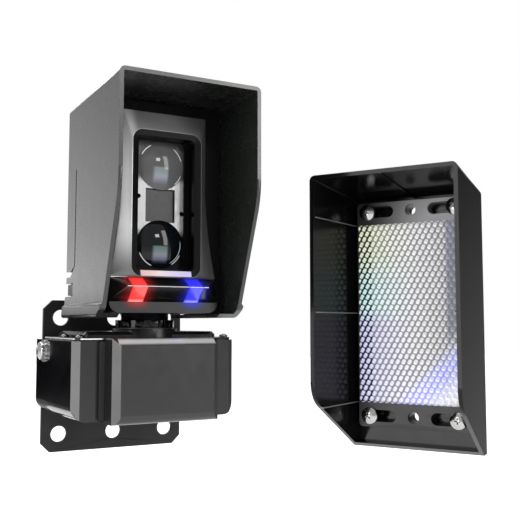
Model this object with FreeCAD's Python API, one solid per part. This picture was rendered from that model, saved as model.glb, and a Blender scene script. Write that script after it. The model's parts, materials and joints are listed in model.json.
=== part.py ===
import FreeCAD
import Part
import math
import os

# Reflective photoelectric gate sensor: a hooded optical head on a swivel neck, the tilting
# wiring cradle that carries it, its wall plate, and the hooded prismatic reflector that
# sends the beam back.
# Millimetres. The origin is the middle of the hole pattern on the wall plate's rear face.
# +X is to the right as one looks at the lenses, +Y goes into the wall, +Z is up.

V = FreeCAD.Vector

# Fits and clearances
RUNNING_CLEARANCE = 0.1
SEAT_CLEARANCE = 0.05
SIDE_CLEARANCE = 0.4
THROUGH = 200.0
INNER_CORNER_RADIUS = 1.5

# Wall plate
PLATE_HEIGHT = 86.0
PLATE_THICKNESS = 2.5
PLATE_CHAMFER = 5.0
MOUNT_SPACING_X = 64.0
MOUNT_SPACING_Z = 66.0
MOUNT_HOLE_DIAMETER = 9.0
CONDUIT_HOLE_DIAMETER = 22.2
CONDUIT_HOLE_Z = 1.2
EAR_THICKNESS = 2.5
EAR_TIP_RADIUS = 5.4
EAR_ROOT_BOTTOM = -12.0
EAR_ROOT_TOP = 10.0

# Tilt axis, along X through the two side screws
TILT_AXIS_Y = -22.0
TILT_AXIS_Z = 15.0

# Wiring cradle
CRADLE_WIDTH = 91.0
CRADLE_TAPER = 1.85
CRADLE_BACK_Y = -3.2
CRADLE_TAPER_Y = -34.0
CRADLE_FRONT_Y = -74.4
CRADLE_BOTTOM_Z = -18.5
CRADLE_TOP_Z = 21.0
CRADLE_WALL = 2.5
CRADLE_BEVEL = 3.4
CRADLE_BOTTOM_RADIUS = 7.0
CRADLE_FLOOR_BACK_Y = -8.0
REAR_PANEL_Y = -34.0
REAR_PANEL_THICKNESS = 2.5
REAR_PANEL_GROOVE = 1.0
COVER_OPENING_MARGIN = 5.0
COVER_RECESS_WIDTH = 65.2
COVER_RECESS_DEPTH = 0.8
GROMMET_BORE = 8.0
GROMMET_SEAT_DIAMETER = 14.0
GROMMET_FLANGE_DIAMETER = 19.0
GROMMET_FLANGE_THICKNESS = 1.6
BUSHING_DIAMETER = 10.6
BUSHING_THICKNESS = 0.95

# Cradle lid
LID_EDGE_INSET = 3.0
LID_FRONT_INSET = 1.0
LID_BACK_Y = -6.0
LID_FLANGE_THICKNESS = 1.4
LID_CROWN_INSET = 9.0
LID_CROWN_HEIGHT = 4.5
LID_CROWN_BEVEL = 1.6
LID_ROOF = 2.5
LID_CORNER_RADIUS = 4.0
LID_SCREW_EDGE = 6.3
LID_SCREW_FRONT_Y = -69.5
LID_SCREW_BACK_Y = -41.0
LID_SCREW_DIAMETER = 2.6
LID_SCREW_HEAD_DIAMETER = 4.6
LID_SCREW_HEAD_HEIGHT = 1.7
LID_SCREW_LENGTH = 9.0
LID_BOSS_DIAMETER = 7.0
LID_BOSS_HEIGHT = 14.0
LID_BOSS_WEB_SHARE = 0.6
LID_BOSS_FLOOR = 2.0

# Front cover of the cradle
COVER_WIDTH = 56.2
COVER_FRONT_Y = -90.0
COVER_TOP_Z = 22.5
COVER_BOTTOM_Z = -19.2
COVER_CHAMFER = 3.5
COVER_BOTTOM_RADIUS = 4.5
COVER_WALL = 2.4
COVER_SIDE_WALL = 3.1
COVER_GASKET_THICKNESS = 1.0
COVER_GASKET_LEDGE = 2.6
COVER_GASKET_FOOT = 0.5
COVER_GASKET_HEAD = 0.3

# Swivel neck
SWIVEL_AXIS_Y = -54.0
POST_DIAMETER = 25.0
POST_BORE = 15.0
COLLAR_DIAMETER = 34.0
COLLAR_HEIGHT = 1.4
BOSS_BELOW_LID = 5.0
FRICTION_WASHER_THICKNESS = 0.6
DETENT_DIAMETER = 31.0
DETENT_THICKNESS = 4.0
DETENT_NOTCHES = 12
DETENT_NOTCH_WIDTH = 3.4
DETENT_NOTCH_DEPTH = 1.5
SPRING_WASHER_THICKNESS = 0.8
SWIVEL_NUT_ACROSS_FLATS = 29.5
SWIVEL_NUT_THICKNESS = 4.0
POST_THREAD_END = 1.5
POST_SOCKET_DEPTH = 7.0

# Optical head
HEAD_WIDTH = 68.0
HEAD_BOTTOM_Z = 35.0
HEAD_TOP_Z = 144.7
HEAD_FACE_Y = -74.6
HEAD_BACK_Y = -44.0
BASE_BACK_Y = -31.0
BASE_TOP_Z = 52.0
HEAD_SLOPE_TOP_Z = 57.0
HEAD_WALL = 2.2
HEAD_CORNER_RADIUS = 2.5
HEAD_FOOT_RADIUS = 1.5
HEAD_STEP_RADIUS = 2.0
HEAD_SHOULDER_RADIUS = 3.0
HEAD_BROW_RADIUS = 5.0
BASE_FLOOR = 7.0
FACE_PLATE_THICKNESS = 2.4
CASE_GASKET_THICKNESS = 1.0
CASE_GASKET_WIDTH = 2.2
LUG_HEIGHT = 5.8
LUG_LENGTH = 11.0
LUG_REACH = 2.0
CASE_SCREW_EDGE = 4.5
CASE_SCREW_TOP_Z = 139.5
CASE_SCREW_BOTTOM_Z = 62.0
CASE_SCREW_DIAMETER = 3.0
CASE_SCREW_HEAD_DIAMETER = 5.6
CASE_SCREW_HEAD_HEIGHT = 2.2
CASE_BOSS_DIAMETER = 7.0
CASE_BOSS_WEB_SHARE = 0.3
CASE_SCREW_BITE = 0.7
CASE_SCREW_COVER = 0.25

# Bezel, window and lenses
BEZEL_EDGE_Y = -81.4
BEZEL_TOP_Z = 137.5
BEZEL_BOTTOM_Z = 52.55
BEZEL_TOP_WIDTH = 45.4
BEZEL_BOTTOM_WIDTH = 57.0
BEZEL_FLARE_START_Z = 99.0
BEZEL_FLARE_MIDDLE_Z = 76.0
BEZEL_FLARE_MIDDLE_WIDTH = 49.0
BEZEL_CORNER = 0.8
BEZEL_LAND = 0.25
RIM_Y = -85.4
RIM_TOP_Z = 127.4
RIM_BOTTOM_Z = 53.1
RIM_WIDTH = 37.2
RIM_CORNER_RADIUS = 5.5
RIM_LAND = 0.35
WINDOW_EDGE_Y = -84.3
WINDOW_TOP_Z = 124.5
WINDOW_BOTTOM_Z = 56.3
WINDOW_WIDTH = 30.4
WINDOW_CORNER_RADIUS = 2.5
WINDOW_LIP_THICKNESS = 0.8
WINDOW_LIP_MARGIN = 0.4
LENS_DIAMETER = 25.0
LENS_UPPER_Z = 111.4
LENS_LOWER_Z = 70.4
LENS_EDGE_THICKNESS = 2.0
LENS_CROWN = 3.6
CARRIER_FRONT_Y = -75.3
CARRIER_THICKNESS = 2.4
CARRIER_EDGE = 1.2
CHANNEL_WIDTH = 16.0
CHANNEL_TOP_Z = 99.4
CHANNEL_BOTTOM_Z = 82.0
CHANNEL_DEPTH = 1.4
CLIP_NOTCH_DIAMETER = 2.4
CLIP_NOTCH_OVERLAP = 0.6
CLIP_NOTCH_LEFT_Z = 95.0
CLIP_NOTCH_RIGHT_Z = 87.0
LENS_TUBE_WALL = 1.2
LENS_TUBE_LENGTH = 7.6

# Indicator bar, light pipes and lower trim
BAR_TOP_Z = 52.5
BAR_RIDGE_Z = 48.0
BAR_BOTTOM_Z = 40.5
BAR_BASE_WIDTH = 58.6
BAR_RIDGE_WIDTH = 42.8
BAR_RIDGE_Y = -89.5
BAR_SHOULDER_Y = -81.4
LIGHT_PIPE_CENTRE = 15.0
LIGHT_PIPE_WIDTH = 8.0
LIGHT_PIPE_NECK_WIDTH = 7.2
LIGHT_PIPE_NECK_MARGIN = 3.0
LIGHT_PIPE_POCKET = 3.0
LIGHT_PIPE_REACH = 0.6
TRIM_WIDTH = 58.0
TRIM_FRONT_Y = -83.2
TRIM_CORNER_RADIUS = 5.2

# Electronics inside the head
BOARD_MARGIN = 3.8
BOARD_TOP_Z = 135.0
BOARD_BOTTOM_Z = 43.5
BOARD_THICKNESS = 1.6
BOARD_FRONT_Y = -62.8
BOARD_SCREW_EDGE = 4.0
BOARD_SCREW_TOP_Z = 131.0
BOARD_SCREW_BOTTOM_Z = 58.0
BOARD_SCREW_DIAMETER = 2.5
BOARD_SCREW_HEAD_DIAMETER = 4.6
BOARD_SCREW_HEAD_HEIGHT = 1.8
BOARD_SCREW_LENGTH = 7.0
TERMINAL_BOARD_SCREW_LENGTH = 5.0
STANDOFF_DIAMETER = 6.0
LED_DIAMETER = 5.0
LED_HEIGHT = 5.6
LED_RIM_DIAMETER = 5.8
LED_RIM_HEIGHT = 1.0
RELAY_WIDTH = 19.0
RELAY_HEIGHT = 15.4
RELAY_DEPTH = 14.0
RELAY_Z = 96.0

# Terminal block inside the cradle
TERMINAL_BOARD_WIDTH = 56.0
TERMINAL_BOARD_DEPTH = 26.0
TERMINAL_BOARD_THICKNESS = 1.6
TERMINAL_BOARD_Y = -57.0
TERMINAL_BOARD_STANDOFF = 4.0
TERMINAL_POLES = 6
TERMINAL_PITCH = 5.08
TERMINAL_DEPTH = 9.0
TERMINAL_HEIGHT = 10.0
TERMINAL_SCREW_DIAMETER = 3.2
TERMINAL_WELL_DEPTH = 4.0
TERMINAL_SCREW_SINK = 1.0
TERMINAL_SLOT_DEPTH = 0.7
TERMINAL_SLOT_WIDTH = 0.6
TERMINAL_WIRE_HOLE = 3.0
TERMINAL_WIRE_DEPTH = 4.0
TERMINAL_WIRE_SILL = 1.5
TERMINAL_NOSE_BEVEL = 2.5
TERMINAL_BOARD_SCREW_X = 24.0

# Tilt screws
TILT_SCREW_DIAMETER = 5.0
TILT_SCREW_HEAD_DIAMETER = 9.7
TILT_SCREW_HEAD_HEIGHT = 3.4
STAR_WASHER_DIAMETER = 12.0
STAR_WASHER_THICKNESS = 1.0
STAR_WASHER_TEETH = 14
STAR_WASHER_ROOT_SHARE = 0.8
TILT_NUT_SIZE = 8.0
TILT_NUT_THICKNESS = 4.0
TILT_SCREW_END = 1.0

# Shape of every pan head and its cross recess, as shares of the head
SCREW_RIM_SHARE = 0.45
SCREW_SHOULDER_OUT = 0.72
SCREW_SHOULDER_UP = 0.88
CROSS_ARM_SHARE = 0.27
CROSS_BLADE_SHARE = 0.06
CROSS_DEPTH_SHARE = 0.6

# Sensor hood
HOOD_GAP = 0.5
HOOD_TOP_Z = 147.2
HOOD_BOTTOM_Z = 32.6
HOOD_MOUTH_Y = -118.0
HOOD_BACK_Y = -30.5
HOOD_WALL = 2.0
HOOD_CORNER_RADIUS = 2.8
HOOD_ROOF_RADIUS = 0.8
HOOD_BACK_RADIUS = 4.0
HOOD_CUT_START_Z = 92.0
HOOD_CUT_END_Y = -96.0
HOOD_CUT_END_Z = 37.0
HOOD_CUT_BLEND = 45.0
HOOD_FOOT_Y = -86.5
HOOD_FOOT_BLEND = 5.0
HOOD_SKIRT_TOP_Z = 39.6
HOOD_SKIRT_FLARE = 1.2
HOOD_SKIRT_BACK_Y = -24.5
HOOD_SKIRT_START_Z = 52.0
HOOD_SKIRT_RADIUS = 1.6
HOOD_SKIRT_BLEND = 1.0
HOOD_RAIL_WIDTH = 8.0
HOOD_RAIL_THICKNESS = 2.0
TAB_SLIT_WIDTH = 1.4
TAB_SLIT_Y = -46.8
TAB_SLIT_TOP_Z = 110.5
TAB_SLIT_BOTTOM_Z = 60.0
TAB_HOOK_Y = -39.0
TAB_NOTCH_BOTTOM_Z = 54.3
TAB_NOTCH_TOP_Z = 57.3
LATCH_WINDOW_BOTTOM_Z = 44.0
LATCH_WINDOW_TOP_Z = 51.0
LATCH_WINDOW_FRONT_Y = -43.6

# Reflector unit, in its own frame: the prism face looks along -Y, its plane is Y = 0
REFLECTOR_X = 142.7
REFLECTOR_Y = -101.3
REFLECTOR_Z = 35.8
REFLECTOR_TURN = -58.5
SHADE_BACK_Y = 13.3
SHADE_MOUTH_Y = -45.7
SHADE_SIDE_GAP = 5.1
SHADE_MOUTH_WIDTH = 82.8
SHADE_TOP_GAP = 4.8
SHADE_ROOF_RISE = 5.7
SHADE_BOTTOM_GAP = 12.1
SHADE_WALL = 2.2
SHADE_BACK_WALL = 3.3
SHADE_CORNER_RADIUS = 3.0
SHADE_CUT_START_Z = -47.0
SHADE_CUT_END_Y = 6.0
SHADE_CUT_BLEND = 16.0
SHADE_RIB_WIDTH = 1.0
SHADE_RIB_HEIGHT = 0.5
SHADE_RIB_SPACING = 52.4
SHADE_RIB_ROOT = 1.5
SHADE_SCREW_FLOOR = 0.8
TRAY_EDGE = 0.8
TRAY_TOP_MARGIN = 13.0
TRAY_BOTTOM_MARGIN = 14.0
TRAY_FACE_Y = 1.0
TRAY_CORNER_RADIUS = 2.5
TRAY_FLOOR = 2.4
PANEL_WIDTH = 64.0
PANEL_HEIGHT = 103.8
PANEL_BACK_Y = 5.0
CELL_PITCH = 3.6
SLOT_CENTRE_X = 19.9
SLOT_LENGTH = 19.2
SLOT_WIDTH = 6.8
FIXING_MARGIN = 7.5
POST_HOLE_DIAMETER = 6.4
REFLECTOR_SCREW_X = 26.0
REFLECTOR_SCREW_DIAMETER = 5.0
REFLECTOR_SCREW_HEAD_DIAMETER = 9.7
REFLECTOR_SCREW_HEAD_HEIGHT = 3.2
REFLECTOR_SCREW_LENGTH = 11.0

# Sizes that follow from the ones above
CRADLE_INNER_X = CRADLE_WIDTH / 2 - CRADLE_WALL
CRADLE_FRONT_WIDTH = CRADLE_WIDTH - 2 * CRADLE_TAPER
PLATE_WIDTH = 2 * (CRADLE_INNER_X - BUSHING_THICKNESS - SEAT_CLEARANCE)
LID_SCREW_X = CRADLE_WIDTH / 2 - LID_SCREW_EDGE
COVER_OPENING_WIDTH = COVER_WIDTH - 2 * COVER_SIDE_WALL
HOOD_WIDTH = HEAD_WIDTH + 2 * (HOOD_GAP + HOOD_WALL)
CASE_SCREW_X = HEAD_WIDTH / 2 - CASE_SCREW_EDGE
BOARD_WIDTH = HEAD_WIDTH - 2 * (HEAD_WALL + BOARD_MARGIN)
BOARD_SCREW_X = BOARD_WIDTH / 2 - BOARD_SCREW_EDGE
FIXING_Z = PANEL_HEIGHT / 2 + FIXING_MARGIN
TRAY_WIDTH = PANEL_WIDTH + 2 * TRAY_EDGE
TRAY_TOP_Z = PANEL_HEIGHT / 2 + TRAY_TOP_MARGIN
TRAY_BOTTOM_Z = -PANEL_HEIGHT / 2 - TRAY_BOTTOM_MARGIN
SHADE_BACK_WIDTH = TRAY_WIDTH + 2 * SHADE_SIDE_GAP
SHADE_BACK_TOP_Z = TRAY_TOP_Z + SHADE_TOP_GAP
SHADE_MOUTH_TOP_Z = SHADE_BACK_TOP_Z + SHADE_ROOF_RISE
SHADE_BOTTOM_Z = TRAY_BOTTOM_Z - SHADE_BOTTOM_GAP
LID_TOP_Z = CRADLE_TOP_Z + LID_CROWN_HEIGHT
COLLAR_TOP_Z = LID_TOP_Z + COLLAR_HEIGHT
WASHER_TOP_Z = COLLAR_TOP_Z + FRICTION_WASHER_THICKNESS
DETENT_TOP_Z = WASHER_TOP_Z + DETENT_THICKNESS
BOSS_BOTTOM_Z = CRADLE_TOP_Z - BOSS_BELOW_LID
SWIVEL_NUT_TOP_Z = BOSS_BOTTOM_Z - SPRING_WASHER_THICKNESS
SWIVEL_NUT_BOTTOM_Z = SWIVEL_NUT_TOP_Z - SWIVEL_NUT_THICKNESS
COVER_SEAT_Y = CRADLE_FRONT_Y + COVER_RECESS_DEPTH
COVER_BACK_Y = COVER_SEAT_Y - COVER_GASKET_THICKNESS
CHAMBER_BACK_Y = REAR_PANEL_Y - REAR_PANEL_THICKNESS
CHAMBER_FRONT_Y = CRADLE_FRONT_Y + CRADLE_WALL
CHAMBER_FLOOR_Z = CRADLE_BOTTOM_Z + CRADLE_WALL
FACE_PLATE_BACK_Y = HEAD_FACE_Y + FACE_PLATE_THICKNESS
CASE_FRONT_Y = FACE_PLATE_BACK_Y + CASE_GASKET_THICKNESS
CASE_FLOOR_Z = HEAD_BOTTOM_Z + BASE_FLOOR
BOARD_BACK_Y = BOARD_FRONT_Y + BOARD_THICKNESS
CARRIER_BACK_Y = CARRIER_FRONT_Y + CARRIER_THICKNESS
SHADE_FLOOR_Y = SHADE_BACK_Y - SHADE_BACK_WALL


# Building blocks
def plane_point(plane, a, b, offset):
    """A point of a drawing plane: xy is seen from above, xz from the front, yz from the side."""
    if plane == "xy":
        return V(a, b, offset)
    if plane == "xz":
        return V(a, offset, b)
    return V(offset, a, b)


def rounded_wire(corners, plane, offset):
    """A closed outline of straight runs; each corner is (a, b) or (a, b, radius)."""
    edges = []
    starts = []
    ends = []
    count = len(corners)
    for index, corner in enumerate(corners):
        here = V(corner[0], corner[1], 0)
        radius = corner[2] if len(corner) > 2 else 0
        before = corners[index - 1]
        after = corners[(index + 1) % count]
        if radius <= 0:
            starts.append(here)
            ends.append(here)
            continue
        back = (V(before[0], before[1], 0) - here).normalize()
        forward = (V(after[0], after[1], 0) - here).normalize()
        half_angle = back.getAngle(forward) / 2
        run = radius / math.tan(half_angle)
        first = here + back * run
        last = here + forward * run
        bisector = (back + forward).normalize()
        centre = here + bisector * (radius / math.sin(half_angle))
        middle = centre - bisector * radius
        starts.append(first)
        ends.append(last)
        arc_points = [plane_point(plane, p.x, p.y, offset) for p in (first, middle, last)]
        edges.append(Part.Arc(*arc_points).toShape())
    for index in range(count):
        first = ends[index]
        last = starts[(index + 1) % count]
        if first.distanceToPoint(last) < 1e-7:
            continue
        run_start = plane_point(plane, first.x, first.y, offset)
        run_end = plane_point(plane, last.x, last.y, offset)
        edges.append(Part.LineSegment(run_start, run_end).toShape())
    return Part.Wire(Part.__sortEdges__(edges))


def prism(corners, plane, start, end):
    """The outline pushed from one place to another along the axis that the plane leaves out."""
    face = Part.Face(rounded_wire(corners, plane, start))
    return face.extrude(plane_point(plane, 0, 0, end - start))


def rectangle(a0, a1, b0, b1, radius=0.0):
    """The four corners of a rectangle, rounded alike."""
    return [(a0, b0, radius), (a1, b0, radius), (a1, b1, radius), (a0, b1, radius)]


def block(x0, x1, y0, y1, z0, z1):
    """A plain block between two corners."""
    return Part.makeBox(x1 - x0, y1 - y0, z1 - z0, V(x0, y0, z0))


def rod(axis, centre, radius, start, end):
    """A round bar along x, y or z; the centre gives the other two coordinates in order."""
    if axis == "x":
        base = V(start, centre[0], centre[1])
        direction = V(1, 0, 0)
    elif axis == "y":
        base = V(centre[0], start, centre[1])
        direction = V(0, 1, 0)
    else:
        base = V(centre[0], centre[1], start)
        direction = V(0, 0, 1)
    return Part.makeCylinder(radius, end - start, base, direction)


def ring(axis, centre, outer, inner, start, end):
    """A flat ring or tube along an axis."""
    return rod(axis, centre, outer, start, end).cut(rod(axis, centre, inner, start, end))


def mirrored(shape):
    """The same shape on the other side of the YZ plane."""
    return shape.mirror(V(0, 0, 0), V(1, 0, 0))


def pan_head_screw(base, direction, shank, length, head, head_height):
    """A pan head screw with a cross recess; the head's underside is at the base."""
    crown = head / 2
    rim = head_height * SCREW_RIM_SHARE
    start = V(0, 0, -length)
    body = Part.makeCylinder(shank / 2, length, start)
    edge = [V(0, 0, 0), V(crown, 0, 0), V(crown, 0, rim)]
    shoulder = V(crown * SCREW_SHOULDER_OUT, 0, head_height * SCREW_SHOULDER_UP)
    dome = Part.Arc(edge[2], shoulder, V(0, 0, head_height)).toShape()
    sides = [Part.LineSegment(edge[0], edge[1]).toShape(), Part.LineSegment(edge[1], edge[2]).toShape()]
    closing = Part.LineSegment(V(0, 0, head_height), edge[0]).toShape()
    face = Part.Face(Part.Wire(sides + [dome, closing]))
    body = body.fuse(face.revolve(V(0, 0, 0), V(0, 0, 1), 360))
    arm = head * CROSS_ARM_SHARE
    half_blade = head * CROSS_BLADE_SHARE
    depth = head_height * CROSS_DEPTH_SHARE
    cross_base = head_height - depth
    body = body.cut(block(-arm, arm, -half_blade, half_blade, cross_base, head_height + 1))
    body = body.cut(block(-half_blade, half_blade, -arm, arm, cross_base, head_height + 1))
    turn = FreeCAD.Rotation(V(0, 0, 1), direction)
    body.Placement = FreeCAD.Placement(base, turn)
    return body


def group(shapes):
    """Several separate solids kept together in one node."""
    return Part.makeCompound(shapes)


# Wall plate and its tilt fixings
def make_wall_plate():
    """The flat plate with chamfered corners, its six holes and the two ears bent forward."""
    half_w = PLATE_WIDTH / 2
    half_h = PLATE_HEIGHT / 2
    cut = PLATE_CHAMFER
    outline = [
        (-half_w + cut, -half_h), (half_w - cut, -half_h), (half_w, -half_h + cut),
        (half_w, half_h - cut), (half_w - cut, half_h), (-half_w + cut, half_h),
        (-half_w, half_h - cut), (-half_w, -half_h + cut),
    ]
    plate = prism(outline, "xz", -PLATE_THICKNESS, 0)
    for side in (-1, 0, 1):
        for level in (-1, 1):
            centre = (side * MOUNT_SPACING_X / 2, level * MOUNT_SPACING_Z / 2)
            plate = plate.cut(rod("y", centre, MOUNT_HOLE_DIAMETER / 2, -THROUGH, THROUGH))
    conduit = rod("y", (0, CONDUIT_HOLE_Z), CONDUIT_HOLE_DIAMETER / 2, -THROUGH, THROUGH)
    plate = plate.cut(conduit)
    for side in (-1, 1):
        plate = plate.fuse(make_ear(side))
    return plate.removeSplitter()


def make_ear(side):
    """One ear: a tapering arm from the plate to a round tip about the tilt axis."""
    reach_down = math.hypot(TILT_AXIS_Y + PLATE_THICKNESS, TILT_AXIS_Z - EAR_ROOT_BOTTOM)
    reach_up = math.hypot(TILT_AXIS_Y + PLATE_THICKNESS, TILT_AXIS_Z - EAR_ROOT_TOP)
    low = tangent_point((-PLATE_THICKNESS, EAR_ROOT_BOTTOM), reach_down, 1)
    high = tangent_point((-PLATE_THICKNESS, EAR_ROOT_TOP), reach_up, -1)
    arm = [(0, EAR_ROOT_BOTTOM), (-PLATE_THICKNESS, EAR_ROOT_BOTTOM), low,
           (TILT_AXIS_Y, TILT_AXIS_Z), high, (-PLATE_THICKNESS, EAR_ROOT_TOP), (0, EAR_ROOT_TOP)]
    outer = PLATE_WIDTH / 2
    inner = outer - EAR_THICKNESS
    ear = prism(arm, "yz", inner, outer)
    ear = ear.fuse(rod("x", (TILT_AXIS_Y, TILT_AXIS_Z), EAR_TIP_RADIUS, inner, outer))
    bore = TILT_SCREW_DIAMETER / 2 + RUNNING_CLEARANCE
    ear = ear.cut(rod("x", (TILT_AXIS_Y, TILT_AXIS_Z), bore, 0, THROUGH))
    return ear if side > 0 else mirrored(ear)


def tangent_point(start, distance, turn):
    """Where a line from the start touches the ear's round tip."""
    toward = math.atan2(TILT_AXIS_Z - start[1], TILT_AXIS_Y - start[0])
    swing = math.asin(EAR_TIP_RADIUS / distance) * turn
    run = math.sqrt(distance ** 2 - EAR_TIP_RADIUS ** 2)
    return (start[0] + run * math.cos(toward + swing), start[1] + run * math.sin(toward + swing))


def make_tilt_screws():
    """The two side screws; each passes washer, cradle, bushing and ear into its nut."""
    head_x = CRADLE_WIDTH / 2 + STAR_WASHER_THICKNESS
    nut_x = PLATE_WIDTH / 2 - EAR_THICKNESS - TILT_NUT_THICKNESS
    length = head_x - nut_x + TILT_SCREW_END
    screw = pan_head_screw(V(head_x, TILT_AXIS_Y, TILT_AXIS_Z), V(1, 0, 0), TILT_SCREW_DIAMETER,
                           length, TILT_SCREW_HEAD_DIAMETER, TILT_SCREW_HEAD_HEIGHT)
    return group([screw, mirrored(screw)])


def make_star_washers():
    """The toothed lock washers under the side screws' heads."""
    outer = STAR_WASHER_DIAMETER / 2
    start = CRADLE_WIDTH / 2
    end = start + STAR_WASHER_THICKNESS
    axis = (TILT_AXIS_Y, TILT_AXIS_Z)
    washer = ring("x", axis, outer, TILT_SCREW_DIAMETER / 2 + RUNNING_CLEARANCE, start, end)
    gap = math.pi * STAR_WASHER_DIAMETER / STAR_WASHER_TEETH / 4
    for tooth in range(STAR_WASHER_TEETH):
        angle = 360.0 * tooth / STAR_WASHER_TEETH
        notch = block(start - 1, end + 1, outer * STAR_WASHER_ROOT_SHARE, outer + 1, -gap, gap)
        notch.rotate(V(0, 0, 0), V(1, 0, 0), angle)
        notch.translate(V(0, TILT_AXIS_Y, TILT_AXIS_Z))
        washer = washer.cut(notch)
    return group([washer, mirrored(washer)])


def make_tilt_nuts():
    """The square nuts welded inside the ears."""
    end = PLATE_WIDTH / 2 - EAR_THICKNESS
    start = end - TILT_NUT_THICKNESS
    half = TILT_NUT_SIZE / 2
    nut = block(start, end, TILT_AXIS_Y - half, TILT_AXIS_Y + half, TILT_AXIS_Z - half, TILT_AXIS_Z + half)
    bore = TILT_SCREW_DIAMETER / 2 + SEAT_CLEARANCE
    nut = nut.cut(rod("x", (TILT_AXIS_Y, TILT_AXIS_Z), bore, 0, THROUGH))
    return group([nut, mirrored(nut)])


def make_pivot_bushings():
    """The nylon washers that fill the gap between each ear and the cradle's cheek."""
    start = PLATE_WIDTH / 2 + SEAT_CLEARANCE
    axis = (TILT_AXIS_Y, TILT_AXIS_Z)
    inner = TILT_SCREW_DIAMETER / 2 + RUNNING_CLEARANCE
    bushing = ring("x", axis, BUSHING_DIAMETER / 2, inner, start, CRADLE_INNER_X)
    return group([bushing, mirrored(bushing)])


# Wiring cradle
def cradle_section(inset, half, top, y):
    """The cradle's outline seen from the front: square above, rounded along both lower edges."""
    radius = CRADLE_BOTTOM_RADIUS - inset
    bottom = CRADLE_BOTTOM_Z + inset
    corners = [(-half, bottom, radius), (half, bottom, radius), (half, top), (-half, top)]
    return rounded_wire(corners, "xz", y)


def cradle_trough(inset, top, front, back):
    """A solid trough: straight at the back, its cheeks drawing in toward the front."""
    half = CRADLE_WIDTH / 2 - inset
    front_half = CRADLE_FRONT_WIDTH / 2 - inset
    middle = cradle_section(inset, half, top, CRADLE_TAPER_Y)
    body = Part.makeLoft([cradle_section(inset, front_half, top, front), middle], True, True)
    body = body.fuse(Part.Face(middle).extrude(V(0, back - CRADLE_TAPER_Y, 0)))
    bevel = CRADLE_BEVEL - inset * (2 - math.sqrt(2))
    reach = half + 1
    plan = [(-reach, back), (reach, back), (reach, front + bevel + reach - front_half),
            (front_half - bevel, front), (-front_half + bevel, front),
            (-reach, front + bevel + reach - front_half)]
    return body.common(prism(plan, "xy", CRADLE_BOTTOM_Z - 1, top + 1))


def make_cradle():
    """The wide moulded trough with rounded lower edges; a panel closes its wiring chamber behind."""
    body = cradle_trough(0, CRADLE_TOP_Z, CRADLE_FRONT_Y, CRADLE_BACK_Y)
    body = body.cut(cradle_trough(CRADLE_WALL, CRADLE_TOP_Z + 1, CHAMBER_FRONT_Y, CRADLE_BACK_Y + 1))
    groove_inset = CRADLE_WALL - REAR_PANEL_GROOVE
    body = body.cut(rear_panel_blank(groove_inset, CRADLE_TOP_Z + 1, SEAT_CLEARANCE))
    inner = PLATE_WIDTH / 2 + SIDE_CLEARANCE
    body = body.cut(block(-inner, inner, CRADLE_FLOOR_BACK_Y, CRADLE_BACK_Y + 1,
                          CRADLE_BOTTOM_Z - 1, CRADLE_BOTTOM_Z + CRADLE_BOTTOM_RADIUS))
    recess = COVER_RECESS_WIDTH / 2
    body = body.cut(block(-recess, recess, CRADLE_FRONT_Y - 1, COVER_SEAT_Y,
                          CRADLE_BOTTOM_Z - 1, CRADLE_TOP_Z + 1))
    body = body.cut(block(-COVER_OPENING_WIDTH / 2, COVER_OPENING_WIDTH / 2,
                          CRADLE_FRONT_Y - 1, CHAMBER_FRONT_Y + 1,
                          CHAMBER_FLOOR_Z + COVER_OPENING_MARGIN, CRADLE_TOP_Z - COVER_OPENING_MARGIN))
    bore = TILT_SCREW_DIAMETER / 2 + RUNNING_CLEARANCE
    body = body.cut(rod("x", (TILT_AXIS_Y, TILT_AXIS_Z), bore, -THROUGH, THROUGH))
    for x, y in lid_screw_places():
        body = body.fuse(lid_boss(x, y))
    for side in (-1, 1):
        body = body.fuse(rod("z", (side * TERMINAL_BOARD_SCREW_X, TERMINAL_BOARD_Y), STANDOFF_DIAMETER / 2,
                             CHAMBER_FLOOR_Z, CHAMBER_FLOOR_Z + TERMINAL_BOARD_STANDOFF))
        body = body.cut(rod("z", (side * TERMINAL_BOARD_SCREW_X, TERMINAL_BOARD_Y),
                            BOARD_SCREW_DIAMETER / 2 + SEAT_CLEARANCE,
                            CHAMBER_FLOOR_Z - 1, CHAMBER_FLOOR_Z + TERMINAL_BOARD_STANDOFF + 1))
    return body.removeSplitter()


def rear_panel_blank(inset, top, clearance):
    """The rear panel's outline as a solid, for the panel itself and for its grooves."""
    half = CRADLE_WIDTH / 2 - inset
    start = CHAMBER_BACK_Y - clearance
    face = Part.Face(cradle_section(inset, half, top, start))
    return face.extrude(V(0, REAR_PANEL_THICKNESS + 2 * clearance, 0))


def make_rear_panel():
    """The panel that closes the wiring chamber behind; it slides into grooves and holds the grommet."""
    inset = CRADLE_WALL - REAR_PANEL_GROOVE + SEAT_CLEARANCE
    panel = rear_panel_blank(inset, CRADLE_TOP_Z, 0)
    return panel.cut(rod("y", (0, CONDUIT_HOLE_Z), GROMMET_SEAT_DIAMETER / 2,
                         CHAMBER_BACK_Y - 1, REAR_PANEL_Y + 1))


def lid_screw_places():
    """Where the four lid screws stand."""
    return [(side * LID_SCREW_X, y) for side in (-1, 1) for y in (LID_SCREW_FRONT_Y, LID_SCREW_BACK_Y)]


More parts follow.
